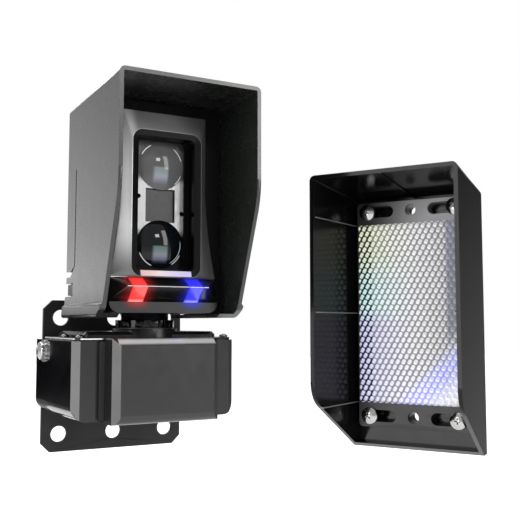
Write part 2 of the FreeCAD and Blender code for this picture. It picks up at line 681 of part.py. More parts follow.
def lid_boss(x, y):
    """A screw boss that hangs in a corner of the wiring chamber, tied to the cheek beside it."""
    radius = LID_BOSS_DIAMETER / 2
    bottom = CRADLE_TOP_Z - LID_BOSS_HEIGHT
    boss = rod("z", (x, y), radius, bottom, CRADLE_TOP_Z)
    side = 1 if x > 0 else -1
    web_end = side * (CRADLE_FRONT_WIDTH / 2 - CRADLE_WALL / 2)
    web = radius * LID_BOSS_WEB_SHARE
    boss = boss.fuse(block(min(x, web_end), max(x, web_end), y - web, y + web,
                           bottom, CRADLE_TOP_Z))
    bore = LID_SCREW_DIAMETER / 2 + SEAT_CLEARANCE
    hole = rod("z", (x, y), bore, bottom + LID_BOSS_FLOOR, CRADLE_TOP_Z + 1)
    return boss.cut(hole)


def make_cable_grommet():
    """The rubber grommet in the rear panel, where the field cable comes in from the wall."""
    centre = (0, CONDUIT_HOLE_Z)
    flange = GROMMET_FLANGE_DIAMETER / 2
    neck = GROMMET_SEAT_DIAMETER / 2 - SEAT_CLEARANCE
    body = rod("y", centre, neck, CHAMBER_BACK_Y, REAR_PANEL_Y)
    body = body.fuse(rod("y", centre, flange, CHAMBER_BACK_Y - GROMMET_FLANGE_THICKNESS, CHAMBER_BACK_Y))
    body = body.fuse(rod("y", centre, flange, REAR_PANEL_Y, REAR_PANEL_Y + GROMMET_FLANGE_THICKNESS))
    bore_start = CHAMBER_BACK_Y - GROMMET_FLANGE_THICKNESS - 1
    bore_end = REAR_PANEL_Y + GROMMET_FLANGE_THICKNESS + 1
    return body.cut(rod("y", centre, GROMMET_BORE / 2, bore_start, bore_end))


def make_cradle_lid():
    """The lid: a thin flange, a crowned roof hollow beneath, and the collar that holds the neck."""
    edge = CRADLE_WIDTH / 2 - LID_EDGE_INSET
    crown = CRADLE_WIDTH / 2 - LID_CROWN_INSET
    flange_front = CRADLE_FRONT_Y + LID_FRONT_INSET
    crown_front = flange_front + LID_CROWN_INSET - LID_EDGE_INSET
    crown_back = LID_BACK_Y - LID_CROWN_INSET + LID_EDGE_INSET
    radius = LID_CORNER_RADIUS
    lid = prism(rectangle(-edge, edge, flange_front, LID_BACK_Y, radius), "xy",
                CRADLE_TOP_Z, CRADLE_TOP_Z + LID_FLANGE_THICKNESS)
    lower = rounded_wire(rectangle(-crown, crown, crown_front, crown_back, radius), "xy",
                         CRADLE_TOP_Z + LID_FLANGE_THICKNESS)
    middle = rounded_wire(rectangle(-crown, crown, crown_front, crown_back, radius), "xy",
                          LID_TOP_Z - LID_CROWN_BEVEL)
    bevel = LID_CROWN_BEVEL
    upper = rounded_wire(rectangle(-crown + bevel, crown - bevel, crown_front + bevel, crown_back - bevel,
                                   radius - bevel), "xy", LID_TOP_Z)
    lid = lid.fuse(Part.makeLoft([lower, middle], True, True))
    lid = lid.fuse(Part.makeLoft([middle, upper], True, True))
    pocket = rectangle(-crown + LID_ROOF, crown - LID_ROOF, crown_front + LID_ROOF, crown_back - LID_ROOF,
                       INNER_CORNER_RADIUS)
    lid = lid.cut(prism(pocket, "xy", CRADLE_TOP_Z - 1, LID_TOP_Z - LID_ROOF))
    centre = (0, SWIVEL_AXIS_Y)
    lid = lid.fuse(rod("z", centre, COLLAR_DIAMETER / 2, BOSS_BOTTOM_Z, COLLAR_TOP_Z))
    bore = POST_DIAMETER / 2 + RUNNING_CLEARANCE
    lid = lid.cut(rod("z", centre, bore, BOSS_BOTTOM_Z - 1, COLLAR_TOP_Z + 1))
    for x, y in lid_screw_places():
        hole = LID_SCREW_DIAMETER / 2 + RUNNING_CLEARANCE
        lid = lid.cut(rod("z", (x, y), hole, CRADLE_TOP_Z - 1, LID_TOP_Z + 1))
    return lid.removeSplitter()


def make_lid_screws():
    """Four small pan head screws that hold the lid down."""
    screws = []
    for x, y in lid_screw_places():
        seat = V(x, y, CRADLE_TOP_Z + LID_FLANGE_THICKNESS)
        screws.append(pan_head_screw(seat, V(0, 0, 1), LID_SCREW_DIAMETER, LID_SCREW_LENGTH,
                                     LID_SCREW_HEAD_DIAMETER, LID_SCREW_HEAD_HEIGHT))
    return group(screws)


def make_cover_gasket():
    """The flat rubber seal between the cradle's front wall and its cover."""
    ledge = COVER_GASKET_LEDGE
    half = COVER_WIDTH / 2 + ledge
    outline = rectangle(-half, half, CRADLE_BOTTOM_Z + COVER_GASKET_FOOT,
                        CRADLE_TOP_Z - COVER_GASKET_HEAD, INNER_CORNER_RADIUS)
    seal = prism(outline, "xz", COVER_BACK_Y, COVER_SEAT_Y)
    opening = rectangle(-COVER_OPENING_WIDTH / 2, COVER_OPENING_WIDTH / 2,
                        CHAMBER_FLOOR_Z + COVER_OPENING_MARGIN, CRADLE_TOP_Z - COVER_OPENING_MARGIN)
    return seal.cut(prism(opening, "xz", COVER_BACK_Y - 1, COVER_SEAT_Y + 1))


def make_front_cover():
    """The protruding front cover: bevelled above and at both sides, rounded below, hollow behind."""
    half = COVER_WIDTH / 2
    cut = COVER_CHAMFER
    plan = [(-half, COVER_BACK_Y), (-half, COVER_FRONT_Y + cut), (-half + cut, COVER_FRONT_Y),
            (half - cut, COVER_FRONT_Y), (half, COVER_FRONT_Y + cut), (half, COVER_BACK_Y)]
    side_view = [(COVER_BACK_Y, COVER_BOTTOM_Z), (COVER_BACK_Y, COVER_TOP_Z),
                 (COVER_FRONT_Y + cut, COVER_TOP_Z), (COVER_FRONT_Y, COVER_TOP_Z - cut),
                 (COVER_FRONT_Y, COVER_BOTTOM_Z, COVER_BOTTOM_RADIUS)]
    body = prism(plan, "xy", COVER_BOTTOM_Z, COVER_TOP_Z)
    body = body.common(prism(side_view, "yz", -half, half))
    inner = COVER_OPENING_WIDTH / 2
    hollow = rectangle(-inner, inner, CHAMBER_FLOOR_Z + COVER_OPENING_MARGIN,
                       CRADLE_TOP_Z - COVER_OPENING_MARGIN, INNER_CORNER_RADIUS)
    return body.cut(prism(hollow, "xz", COVER_FRONT_Y + COVER_WALL, COVER_BACK_Y + 1))


# Terminal block inside the cradle
def terminal_board_z():
    """The underside of the terminal board."""
    return CHAMBER_FLOOR_Z + TERMINAL_BOARD_STANDOFF


def make_terminal_board():
    """The small board that carries the terminal block."""
    half_w = TERMINAL_BOARD_WIDTH / 2
    half_d = TERMINAL_BOARD_DEPTH / 2
    bottom = terminal_board_z()
    outline = rectangle(-half_w, half_w, TERMINAL_BOARD_Y - half_d, TERMINAL_BOARD_Y + half_d, 2.0)
    board = prism(outline, "xy", bottom, bottom + TERMINAL_BOARD_THICKNESS)
    for side in (-1, 1):
        board = board.cut(rod("z", (side * TERMINAL_BOARD_SCREW_X, TERMINAL_BOARD_Y),
                              BOARD_SCREW_DIAMETER / 2 + RUNNING_CLEARANCE, bottom - 1,
                              bottom + TERMINAL_BOARD_THICKNESS + 1))
    return board


def make_terminal_board_screws():
    """The two screws that hold the terminal board."""
    seat = terminal_board_z() + TERMINAL_BOARD_THICKNESS
    screws = []
    for side in (-1, 1):
        base = V(side * TERMINAL_BOARD_SCREW_X, TERMINAL_BOARD_Y, seat)
        screws.append(pan_head_screw(base, V(0, 0, 1), BOARD_SCREW_DIAMETER,
                                     TERMINAL_BOARD_SCREW_LENGTH, BOARD_SCREW_HEAD_DIAMETER,
                                     BOARD_SCREW_HEAD_HEIGHT))
    return group(screws)


def terminal_places():
    """The X places of the terminal block's poles."""
    first = -(TERMINAL_POLES - 1) * TERMINAL_PITCH / 2
    return [first + index * TERMINAL_PITCH for index in range(TERMINAL_POLES)]


def make_terminal_block():
    """A row of wire clamps: a screw well above and a wire hole in front of each pole."""
    half = TERMINAL_POLES * TERMINAL_PITCH / 2
    bottom = terminal_board_z() + TERMINAL_BOARD_THICKNESS
    top = bottom + TERMINAL_HEIGHT
    front = TERMINAL_BOARD_Y - TERMINAL_DEPTH / 2
    back = front + TERMINAL_DEPTH
    side_view = [(front, bottom), (back, bottom), (back, top), (front + TERMINAL_NOSE_BEVEL, top),
                 (front, top - TERMINAL_NOSE_BEVEL)]
    body = prism(side_view, "yz", -half, half)
    wire = TERMINAL_WIRE_HOLE / 2
    for x in terminal_places():
        body = body.cut(rod("z", (x, TERMINAL_BOARD_Y), TERMINAL_SCREW_DIAMETER / 2 + SEAT_CLEARANCE,
                            top - TERMINAL_WELL_DEPTH, top + 1))
        body = body.cut(block(x - wire, x + wire, front - 1, front + TERMINAL_WIRE_DEPTH,
                              bottom + TERMINAL_WIRE_SILL, bottom + TERMINAL_WIRE_SILL + 2 * wire))
    return body


def make_terminal_screws():
    """The clamp screws, one to each pole, slotted and sunk in their wells."""
    top = terminal_board_z() + TERMINAL_BOARD_THICKNESS + TERMINAL_HEIGHT
    screws = []
    for x in terminal_places():
        radius = TERMINAL_SCREW_DIAMETER / 2
        head = top - TERMINAL_SCREW_SINK
        screw = rod("z", (x, TERMINAL_BOARD_Y), radius, top - TERMINAL_WELL_DEPTH, head)
        half = TERMINAL_SLOT_WIDTH / 2
        slot = block(x - radius, x + radius, TERMINAL_BOARD_Y - half, TERMINAL_BOARD_Y + half,
                     head - TERMINAL_SLOT_DEPTH, top)
        screws.append(screw.cut(slot))
    return group(screws)


# Swivel neck
def make_swivel_post():
    """The hollow neck: a tube with a notched detent flange, on which the head turns."""
    centre = (0, SWIVEL_AXIS_Y)
    bottom = SWIVEL_NUT_BOTTOM_Z - POST_THREAD_END
    top = HEAD_BOTTOM_Z + POST_SOCKET_DEPTH - SEAT_CLEARANCE
    body = rod("z", centre, POST_DIAMETER / 2, bottom, top)
    flange = rod("z", centre, DETENT_DIAMETER / 2, WASHER_TOP_Z, DETENT_TOP_Z)
    half = DETENT_NOTCH_WIDTH / 2
    reach = DETENT_DIAMETER / 2 - DETENT_NOTCH_DEPTH
    for step in range(DETENT_NOTCHES):
        notch = block(reach, reach + THROUGH, -half, half, WASHER_TOP_Z - 1, DETENT_TOP_Z + 1)
        notch.rotate(V(0, 0, 0), V(0, 0, 1), 360.0 * (step + 0.5) / DETENT_NOTCHES)
        notch.translate(V(0, SWIVEL_AXIS_Y, 0))
        flange = flange.cut(notch)
    body = body.fuse(flange)
    return body.cut(rod("z", centre, POST_BORE / 2, bottom - 1, top + 1))


def make_friction_washer():
    """The plastic washer between the lid's collar and the neck's flange."""
    centre = (0, SWIVEL_AXIS_Y)
    inner = POST_DIAMETER / 2 + RUNNING_CLEARANCE
    return ring("z", centre, DETENT_DIAMETER / 2, inner, COLLAR_TOP_Z, WASHER_TOP_Z - SEAT_CLEARANCE)


def make_spring_washer():
    """The washer that keeps the swivel stiff, between the boss and the nut."""
    centre = (0, SWIVEL_AXIS_Y)
    inner = POST_DIAMETER / 2 + RUNNING_CLEARANCE
    outer = COLLAR_DIAMETER / 2 - 1
    return ring("z", centre, outer, inner, SWIVEL_NUT_TOP_Z + SEAT_CLEARANCE, BOSS_BOTTOM_Z)


def make_swivel_nut():
    """The hexagonal nut that holds the neck in the lid."""
    across_corners = SWIVEL_NUT_ACROSS_FLATS / math.cos(math.pi / 6)
    corners = []
    for step in range(6):
        angle = math.radians(60 * step)
        corners.append((across_corners / 2 * math.cos(angle),
                        SWIVEL_AXIS_Y + across_corners / 2 * math.sin(angle)))
    nut = prism(corners, "xy", SWIVEL_NUT_BOTTOM_Z, SWIVEL_NUT_TOP_Z)
    return nut.cut(rod("z", (0, SWIVEL_AXIS_Y), POST_DIAMETER / 2 + SEAT_CLEARANCE,
                       SWIVEL_NUT_BOTTOM_Z - 1, SWIVEL_NUT_TOP_Z + 1))


# Optical head
def make_head_case():
    """The case of the head: a deep foot over the neck, a slimmer body above, open in front."""
    half = HEAD_WIDTH / 2
    side_view = [
        (CASE_FRONT_Y, HEAD_BOTTOM_Z), (BASE_BACK_Y, HEAD_BOTTOM_Z, HEAD_FOOT_RADIUS),
        (BASE_BACK_Y, BASE_TOP_Z, HEAD_STEP_RADIUS), (HEAD_BACK_Y, HEAD_SLOPE_TOP_Z, HEAD_SHOULDER_RADIUS),
        (HEAD_BACK_Y, HEAD_TOP_Z, HEAD_BROW_RADIUS), (CASE_FRONT_Y, HEAD_TOP_Z),
    ]
    body = prism(side_view, "yz", -half, half)
    front_view = rectangle(-half, half, HEAD_BOTTOM_Z, HEAD_TOP_Z, HEAD_CORNER_RADIUS)
    body = body.common(prism(front_view, "xz", CASE_FRONT_Y, BASE_BACK_Y))
    wall = HEAD_WALL
    room = rectangle(-half + wall, half - wall, CASE_FLOOR_Z, HEAD_TOP_Z - wall, INNER_CORNER_RADIUS)
    body = body.cut(prism(room, "xz", CASE_FRONT_Y - 1, HEAD_BACK_Y - wall))
    for x, z in case_screw_places():
        body = body.fuse(case_boss(x, z))
    for x, z in board_screw_places():
        body = body.fuse(rod("y", (x, z), STANDOFF_DIAMETER / 2, BOARD_BACK_Y, HEAD_BACK_Y - wall / 2))
        body = body.cut(rod("y", (x, z), BOARD_SCREW_DIAMETER / 2 + SEAT_CLEARANCE,
                            BOARD_BACK_Y - 1, BOARD_BACK_Y + BOARD_SCREW_LENGTH + 1))
    centre = (0, SWIVEL_AXIS_Y)
    socket = POST_DIAMETER / 2 + SEAT_CLEARANCE
    body = body.cut(rod("z", centre, socket, HEAD_BOTTOM_Z - 1, HEAD_BOTTOM_Z + POST_SOCKET_DEPTH))
    body = body.cut(rod("z", centre, POST_BORE / 2, HEAD_BOTTOM_Z, CASE_FLOOR_Z + 1))
    lug_back = LATCH_WINDOW_FRONT_Y + SIDE_CLEARANCE + LUG_LENGTH
    lug_mid = (LATCH_WINDOW_BOTTOM_Z + LATCH_WINDOW_TOP_Z) / 2
    for side in (-1, 1):
        near = side * (half - 1)
        far = side * (half + LUG_REACH)
        body = body.fuse(block(min(near, far), max(near, far), LATCH_WINDOW_FRONT_Y + SIDE_CLEARANCE,
                               lug_back, lug_mid - LUG_HEIGHT / 2, lug_mid + LUG_HEIGHT / 2))
    return bore_case_screws(body.removeSplitter())


def case_screw_places():
    """Where the four screws that close the head stand, seen from the front."""
    return [(side * CASE_SCREW_X, z) for side in (-1, 1) for z in (CASE_SCREW_BOTTOM_Z, CASE_SCREW_TOP_Z)]


def board_screw_places():
    """Where the main board is screwed down, seen from the front."""
    return [(side * BOARD_SCREW_X, z) for side in (-1, 1) for z in (BOARD_SCREW_BOTTOM_Z, BOARD_SCREW_TOP_Z)]


def case_boss(x, z):
    """A boss from the case's back to its front rim, for a screw put in from behind."""
    start = CASE_FRONT_Y
    end = HEAD_BACK_Y - HEAD_WALL / 2
    boss = rod("y", (x, z), CASE_BOSS_DIAMETER / 2, start, end)
    side = 1 if x > 0 else -1
    wall_x = side * (HEAD_WIDTH / 2 - HEAD_WALL / 2)
    web = CASE_BOSS_DIAMETER * CASE_BOSS_WEB_SHARE
    return boss.fuse(block(min(x, wall_x), max(x, wall_x), start, end, z - web, z + web))


def make_case_screws():
    """The screws that pull the face plate onto the case from behind."""
    screws = []
    for x, z in case_screw_places():
        base = V(x, HEAD_BACK_Y, z)
        length = HEAD_BACK_Y - FACE_PLATE_BACK_Y + FACE_PLATE_THICKNESS * CASE_SCREW_BITE
        screws.append(pan_head_screw(base, V(0, 1, 0), CASE_SCREW_DIAMETER, length,
                                     CASE_SCREW_HEAD_DIAMETER, CASE_SCREW_HEAD_HEIGHT))
    return group(screws)


def bore_case_screws(shape):
    """Cuts the four case screws' holes through a piece of the head."""
    for x, z in case_screw_places():
        shape = shape.cut(rod("y", (x, z), CASE_SCREW_DIAMETER / 2 + SEAT_CLEARANCE,
                              HEAD_FACE_Y + FACE_PLATE_THICKNESS * CASE_SCREW_COVER, HEAD_BACK_Y + 1))
    return shape


def make_case_gasket():
    """The seal between the case's front rim and the face plate."""
    half = HEAD_WIDTH / 2
    outer = rectangle(-half, half, HEAD_BOTTOM_Z, HEAD_TOP_Z, HEAD_CORNER_RADIUS)
    width = CASE_GASKET_WIDTH
    inner = rectangle(-half + width, half - width, CASE_FLOOR_Z, HEAD_TOP_Z - width, INNER_CORNER_RADIUS)
    seal = prism(outer, "xz", FACE_PLATE_BACK_Y, CASE_FRONT_Y)
    seal = seal.cut(prism(inner, "xz", FACE_PLATE_BACK_Y - 1, CASE_FRONT_Y + 1))
    return bore_case_screws(seal)


def make_face_plate():
    """The black front plate of the head, which carries the optics, the bezel and the light bar."""
    half = HEAD_WIDTH / 2
    outline = rectangle(-half, half, HEAD_BOTTOM_Z, HEAD_TOP_Z, HEAD_CORNER_RADIUS)
    plate = prism(outline, "xz", HEAD_FACE_Y, FACE_PLATE_BACK_Y)
    seat = carrier_outline(-SEAT_CLEARANCE)
    plate = plate.cut(prism(seat, "xz", HEAD_FACE_Y - 1, FACE_PLATE_BACK_Y + 1))
    for side in (-1, 1):
        low = side * LIGHT_PIPE_CENTRE - LIGHT_PIPE_NECK_WIDTH / 2 - SEAT_CLEARANCE
        high = side * LIGHT_PIPE_CENTRE + LIGHT_PIPE_NECK_WIDTH / 2 + SEAT_CLEARANCE
        plate = plate.cut(block(low, high, HEAD_FACE_Y - 1, FACE_PLATE_BACK_Y + 1,
                                pipe_neck_bottom() - SEAT_CLEARANCE, pipe_neck_top() + SEAT_CLEARANCE))
    return bore_case_screws(plate)


def bezel_outline(y):
    """The bezel from the front: straight above, then a skirt that flares to its foot."""
    top = BEZEL_TOP_WIDTH / 2
    low = BEZEL_BOTTOM_WIDTH / 2
    middle = BEZEL_FLARE_MIDDLE_WIDTH / 2
    cut = BEZEL_CORNER
    start = V(top, y, BEZEL_FLARE_START_Z)
    right_flare = Part.Arc(start, V(middle, y, BEZEL_FLARE_MIDDLE_Z), V(low, y, BEZEL_BOTTOM_Z + cut))
    right = [Part.LineSegment(V(top - cut, y, BEZEL_TOP_Z), V(top, y, BEZEL_TOP_Z - cut)),
             Part.LineSegment(V(top, y, BEZEL_TOP_Z - cut), start), right_flare,
             Part.LineSegment(V(low, y, BEZEL_BOTTOM_Z + cut), V(low - cut, y, BEZEL_BOTTOM_Z))]
    return both_sides(right)


def both_sides(right):
    """A closed wire from the curves of its right half, which run from the top to the foot."""
    edges = [curve.toShape() for curve in right]
    left = [mirrored(edge) for edge in edges]
    top = Part.makeLine(left[0].Vertexes[0].Point, edges[0].Vertexes[0].Point)
    foot = Part.makeLine(edges[-1].Vertexes[-1].Point, left[-1].Vertexes[-1].Point)
    return Part.Wire(Part.__sortEdges__([top] + edges + [foot] + left))


def rim_outline(grow, y):
    """The raised rim round the window, with a joint in each side at the height where the skirt starts."""
    half = RIM_WIDTH / 2 + grow
    radius = RIM_CORNER_RADIUS + grow
    top = RIM_TOP_Z + grow
    bottom = RIM_BOTTOM_Z - grow
    near = radius * (1 - math.sqrt(0.5))
    upper = Part.Arc(V(half - radius, y, top), V(half - near, y, top - near), V(half, y, top - radius))
    lower = Part.Arc(V(half, y, bottom + radius), V(half - near, y, bottom + near),
                     V(half - radius, y, bottom))
    joint = V(half, y, BEZEL_FLARE_START_Z)
    right = [upper, Part.LineSegment(V(half, y, top - radius), joint),
             Part.LineSegment(joint, V(half, y, bottom + radius)), lower]
    return both_sides(right)


def window_outline(grow):
    """The window's inner edge from the front, grown outwards."""
    half = WINDOW_WIDTH / 2 + grow
    return rectangle(-half, half, WINDOW_BOTTOM_Z - grow, WINDOW_TOP_Z + grow,
                     WINDOW_CORNER_RADIUS + grow)


def make_bezel():
    """The satin bezel: its faces slope forward from the outer edge to the raised rim of the window."""
    edge = bezel_outline(BEZEL_EDGE_Y)
    body = Part.Face(edge).extrude(V(0, HEAD_FACE_Y - BEZEL_EDGE_Y, 0))
    slope = Part.makeLoft([bezel_outline(BEZEL_EDGE_Y), rim_outline(BEZEL_LAND, RIM_Y)], True, True)
    body = body.fuse(slope)
    seat = Part.Face(rim_outline(0, RIM_Y - 1)).extrude(V(0, CARRIER_FRONT_Y - RIM_Y + 1, 0))
    body = body.cut(seat)
    return body.cut(prism(carrier_outline(-SEAT_CLEARANCE), "xz", CARRIER_FRONT_Y - 1, HEAD_FACE_Y + 1))


def make_window_frame():
    """The black frame in the bezel: a rim that dips inward, deep walls and a lip on the carrier."""
    blank = Part.Face(rim_outline(-SEAT_CLEARANCE, RIM_Y))
    body = blank.extrude(V(0, CARRIER_FRONT_Y - RIM_Y, 0))
    mouth = rectangle(-RIM_WIDTH / 2 + RIM_LAND, RIM_WIDTH / 2 - RIM_LAND, RIM_BOTTOM_Z + RIM_LAND,
                      RIM_TOP_Z - RIM_LAND, RIM_CORNER_RADIUS - RIM_LAND)
    dip = Part.makeLoft([rounded_wire(mouth, "xz", RIM_Y),
                         rounded_wire(window_outline(0), "xz", WINDOW_EDGE_Y)], True, True)
    body = body.cut(dip)
    lip_front = CARRIER_FRONT_Y - WINDOW_LIP_THICKNESS
    body = body.cut(prism(window_outline(0), "xz", WINDOW_EDGE_Y - 0.5, lip_front))
    margin = WINDOW_LIP_MARGIN
    reach = LENS_DIAMETER / 2 + margin
    sight = rectangle(-reach, reach, LENS_LOWER_Z - reach, LENS_UPPER_Z + reach, WINDOW_CORNER_RADIUS)
    return body.cut(prism(sight, "xz", lip_front - 1, CARRIER_FRONT_Y + 1))


def carrier_outline(inset):
    """The lens carrier from the front; it sits in the face plate behind the window."""
    edge = CARRIER_EDGE - inset
    return rectangle(-WINDOW_WIDTH / 2 - edge, WINDOW_WIDTH / 2 + edge,
                     WINDOW_BOTTOM_Z - edge, WINDOW_TOP_Z + edge, 2.0)


def make_lens_carrier():
    """The bright carrier with a seat for each lens and the sunk channel between them."""
    body = prism(carrier_outline(0), "xz", CARRIER_FRONT_Y, CARRIER_BACK_Y)
    half = CHANNEL_WIDTH / 2
    channel = rectangle(-half, half, CHANNEL_BOTTOM_Z, CHANNEL_TOP_Z)
    body = body.cut(prism(channel, "xz", CARRIER_FRONT_Y - 1, CARRIER_FRONT_Y + CHANNEL_DEPTH))
    for z in (LENS_LOWER_Z, LENS_UPPER_Z):
        body = body.cut(rod("y", (0, z), LENS_DIAMETER / 2 + SEAT_CLEARANCE, CARRIER_FRONT_Y - 1,
                            CARRIER_BACK_Y + 1))
    notch_x = LENS_DIAMETER / 2 - CLIP_NOTCH_OVERLAP
    for x, z in ((-notch_x, CLIP_NOTCH_LEFT_Z), (notch_x, CLIP_NOTCH_RIGHT_Z)):
        body = body.cut(rod("y", (x, z), CLIP_NOTCH_DIAMETER / 2, CARRIER_FRONT_Y - 1, CARRIER_BACK_Y + 1))
    return body


def make_lens(z):
    """A plano-convex lens: a short rim and a domed front."""
    radius = LENS_DIAMETER / 2
    rim_y = CARRIER_FRONT_Y
    back_y = CARRIER_FRONT_Y + LENS_EDGE_THICKNESS
    sphere = (radius ** 2 + LENS_CROWN ** 2) / (2 * LENS_CROWN)
    apex_y = rim_y - LENS_CROWN
    dome = Part.makeSphere(sphere, V(0, apex_y + sphere, z))
    dome = dome.common(rod("y", (0, z), radius, apex_y - 1, back_y))
    return dome


def make_lens_tubes():
    """The two black tubes behind the lenses that keep the beams apart."""
    tubes = []
    inner = LENS_DIAMETER / 2 - LENS_TUBE_WALL
    outer = LENS_DIAMETER / 2 - SEAT_CLEARANCE
    seat = CARRIER_FRONT_Y + LENS_EDGE_THICKNESS
    for z in (LENS_LOWER_Z, LENS_UPPER_Z):
        tubes.append(ring("y", (0, z), outer, inner, seat, seat + LENS_TUBE_LENGTH))
    return group(tubes)


def make_led(x, z, board_y):
    """A round-nosed diode standing on the board and looking forward."""
    radius = LED_DIAMETER / 2
    body = rod("y", (x, z), radius, board_y - LED_HEIGHT + radius, board_y)
    body = body.fuse(Part.makeSphere(radius, V(x, board_y - LED_HEIGHT + radius, z)))
    return body.fuse(rod("y", (x, z), LED_RIM_DIAMETER / 2, board_y - LED_RIM_HEIGHT, board_y))


def make_status_leds():
    """The two diodes behind the light pipes."""
    z = (pipe_neck_top() + pipe_neck_bottom()) / 2
    return group([make_led(side * LIGHT_PIPE_CENTRE, z, BOARD_FRONT_Y) for side in (-1, 1)])


def make_main_board():
    """The circuit board, screwed to the standoffs in the case."""
    half = BOARD_WIDTH / 2
    outline = rectangle(-half, half, BOARD_BOTTOM_Z, BOARD_TOP_Z, 2.0)
    board = prism(outline, "xz", BOARD_FRONT_Y, BOARD_BACK_Y)
    for x, z in board_screw_places():
        board = board.cut(rod("y", (x, z), BOARD_SCREW_DIAMETER / 2 + RUNNING_CLEARANCE,
                              BOARD_FRONT_Y - 1, BOARD_BACK_Y + 1))
    for x, z in case_screw_places():
        board = board.cut(rod("y", (x, z), CASE_BOSS_DIAMETER / 2 + SIDE_CLEARANCE,
                              BOARD_FRONT_Y - 1, BOARD_BACK_Y + 1))
    return board


def make_board_screws():
    """The four screws of the main board."""
    screws = []
    for x, z in board_screw_places():
        screws.append(pan_head_screw(V(x, BOARD_FRONT_Y, z), V(0, -1, 0), BOARD_SCREW_DIAMETER,
                                     BOARD_SCREW_LENGTH, BOARD_SCREW_HEAD_DIAMETER,
                                     BOARD_SCREW_HEAD_HEIGHT))
    return group(screws)


def make_relay():
    """The output relay on the back of the main board."""
    half = RELAY_WIDTH / 2
    outline = rectangle(-half, half, RELAY_Z - RELAY_HEIGHT / 2, RELAY_Z + RELAY_HEIGHT / 2, 0.8)
    return prism(outline, "xz", BOARD_BACK_Y, BOARD_BACK_Y + RELAY_DEPTH)


# Light bar and trim
def bar_profile(grow):
    """The light bar from the side: a gable whose ridge stands in front of the bezel."""
    return [(HEAD_FACE_Y, BAR_TOP_Z + grow), (BAR_SHOULDER_Y, BAR_TOP_Z + grow),
            (BAR_RIDGE_Y - grow, BAR_RIDGE_Z), (BAR_SHOULDER_Y, BAR_BOTTOM_Z - grow),
            (HEAD_FACE_Y, BAR_BOTTOM_Z - grow)]


def pipe_neck_top():
    """The top of the part of a light pipe that goes through the face plate."""
    return BAR_TOP_Z - LIGHT_PIPE_NECK_MARGIN


def pipe_neck_bottom():
    """The bottom of the part of a light pipe that goes through the face plate."""
    return BAR_BOTTOM_Z + LIGHT_PIPE_NECK_MARGIN


def make_indicator_bar():
    """The glossy bar below the bezel, with hipped ends and a gap for each light pipe."""
    base = BAR_BASE_WIDTH / 2
    ridge = BAR_RIDGE_WIDTH / 2
    body = prism(bar_profile(0), "yz", -base, base)
    plan = [(-base, HEAD_FACE_Y), (-base, BAR_SHOULDER_Y), (-ridge, BAR_RIDGE_Y),
            (ridge, BAR_RIDGE_Y), (base, BAR_SHOULDER_Y), (base, HEAD_FACE_Y)]
    body = body.common(prism(plan, "xy", BAR_BOTTOM_Z, BAR_TOP_Z))
    for side in (-1, 1):
        centre = side * LIGHT_PIPE_CENTRE
        half = LIGHT_PIPE_WIDTH / 2 + SEAT_CLEARANCE
        pocket_back = BAR_SHOULDER_Y + LIGHT_PIPE_POCKET
        body = body.cut(block(centre - half, centre + half, BAR_RIDGE_Y - 1, pocket_back,
                              BAR_BOTTOM_Z - 1, BAR_TOP_Z + 1))
        neck = LIGHT_PIPE_NECK_WIDTH / 2 + SEAT_CLEARANCE
        body = body.cut(block(centre - neck, centre + neck, BAR_SHOULDER_Y, HEAD_FACE_Y + 1,
                              pipe_neck_bottom() - SEAT_CLEARANCE, pipe_neck_top() + SEAT_CLEARANCE))
    return body


def make_light_pipe(side):
    """A coloured light pipe: flush with the bar in front, with a neck back to its diode."""
    centre = side * LIGHT_PIPE_CENTRE
    half = LIGHT_PIPE_WIDTH / 2
    nose = prism(bar_profile(0), "yz", centre - half, centre + half)
    nose_back = BAR_SHOULDER_Y + LIGHT_PIPE_POCKET - SEAT_CLEARANCE
    nose = nose.common(block(centre - half, centre + half, BAR_RIDGE_Y - 1, nose_back,
                             BAR_BOTTOM_Z, BAR_TOP_Z))
    neck = LIGHT_PIPE_NECK_WIDTH / 2
    back = FACE_PLATE_BACK_Y + LIGHT_PIPE_REACH
    nose = nose.fuse(block(centre - neck, centre + neck, nose_back - 1, back,
                           pipe_neck_bottom(), pipe_neck_top()))
    return nose.removeSplitter()


def make_lower_trim():
    """The grey chin below the light bar, with rounded lower corners."""
    half = TRIM_WIDTH / 2
    top = BAR_BOTTOM_Z - SEAT_CLEARANCE
    outline = [(-half, top), (-half, HEAD_BOTTOM_Z, TRIM_CORNER_RADIUS),
               (half, HEAD_BOTTOM_Z, TRIM_CORNER_RADIUS), (half, top)]
    return prism(outline, "xz", TRIM_FRONT_Y, HEAD_FACE_Y)


# Sensor hood
def hood_section():
    """The hood from the front: an upturned channel with a flared skirt and two inward rails."""
    outer = HOOD_WIDTH / 2
    skirt = outer + HOOD_SKIRT_FLARE
    inner = outer - HOOD_WALL
    rail = inner - HOOD_RAIL_WIDTH
    bottom = HOOD_BOTTOM_Z
    rail_top = bottom + HOOD_RAIL_THICKNESS
    right = [(rail, rail_top), (rail, bottom), (skirt, bottom, HOOD_SKIRT_RADIUS),
             (skirt, HOOD_SKIRT_TOP_Z - 1, HOOD_SKIRT_BLEND), (outer, HOOD_SKIRT_TOP_Z, HOOD_SKIRT_BLEND),
             (outer, HOOD_TOP_Z, HOOD_CORNER_RADIUS)]
    left = [(-corner[0],) + corner[1:] for corner in reversed(right)]
    roof = HOOD_TOP_Z - HOOD_WALL
    inside = [(-inner, rail_top), (-inner, roof, HOOD_ROOF_RADIUS), (inner, roof, HOOD_ROOF_RADIUS),
              (inner, rail_top)]
    return right + left + inside


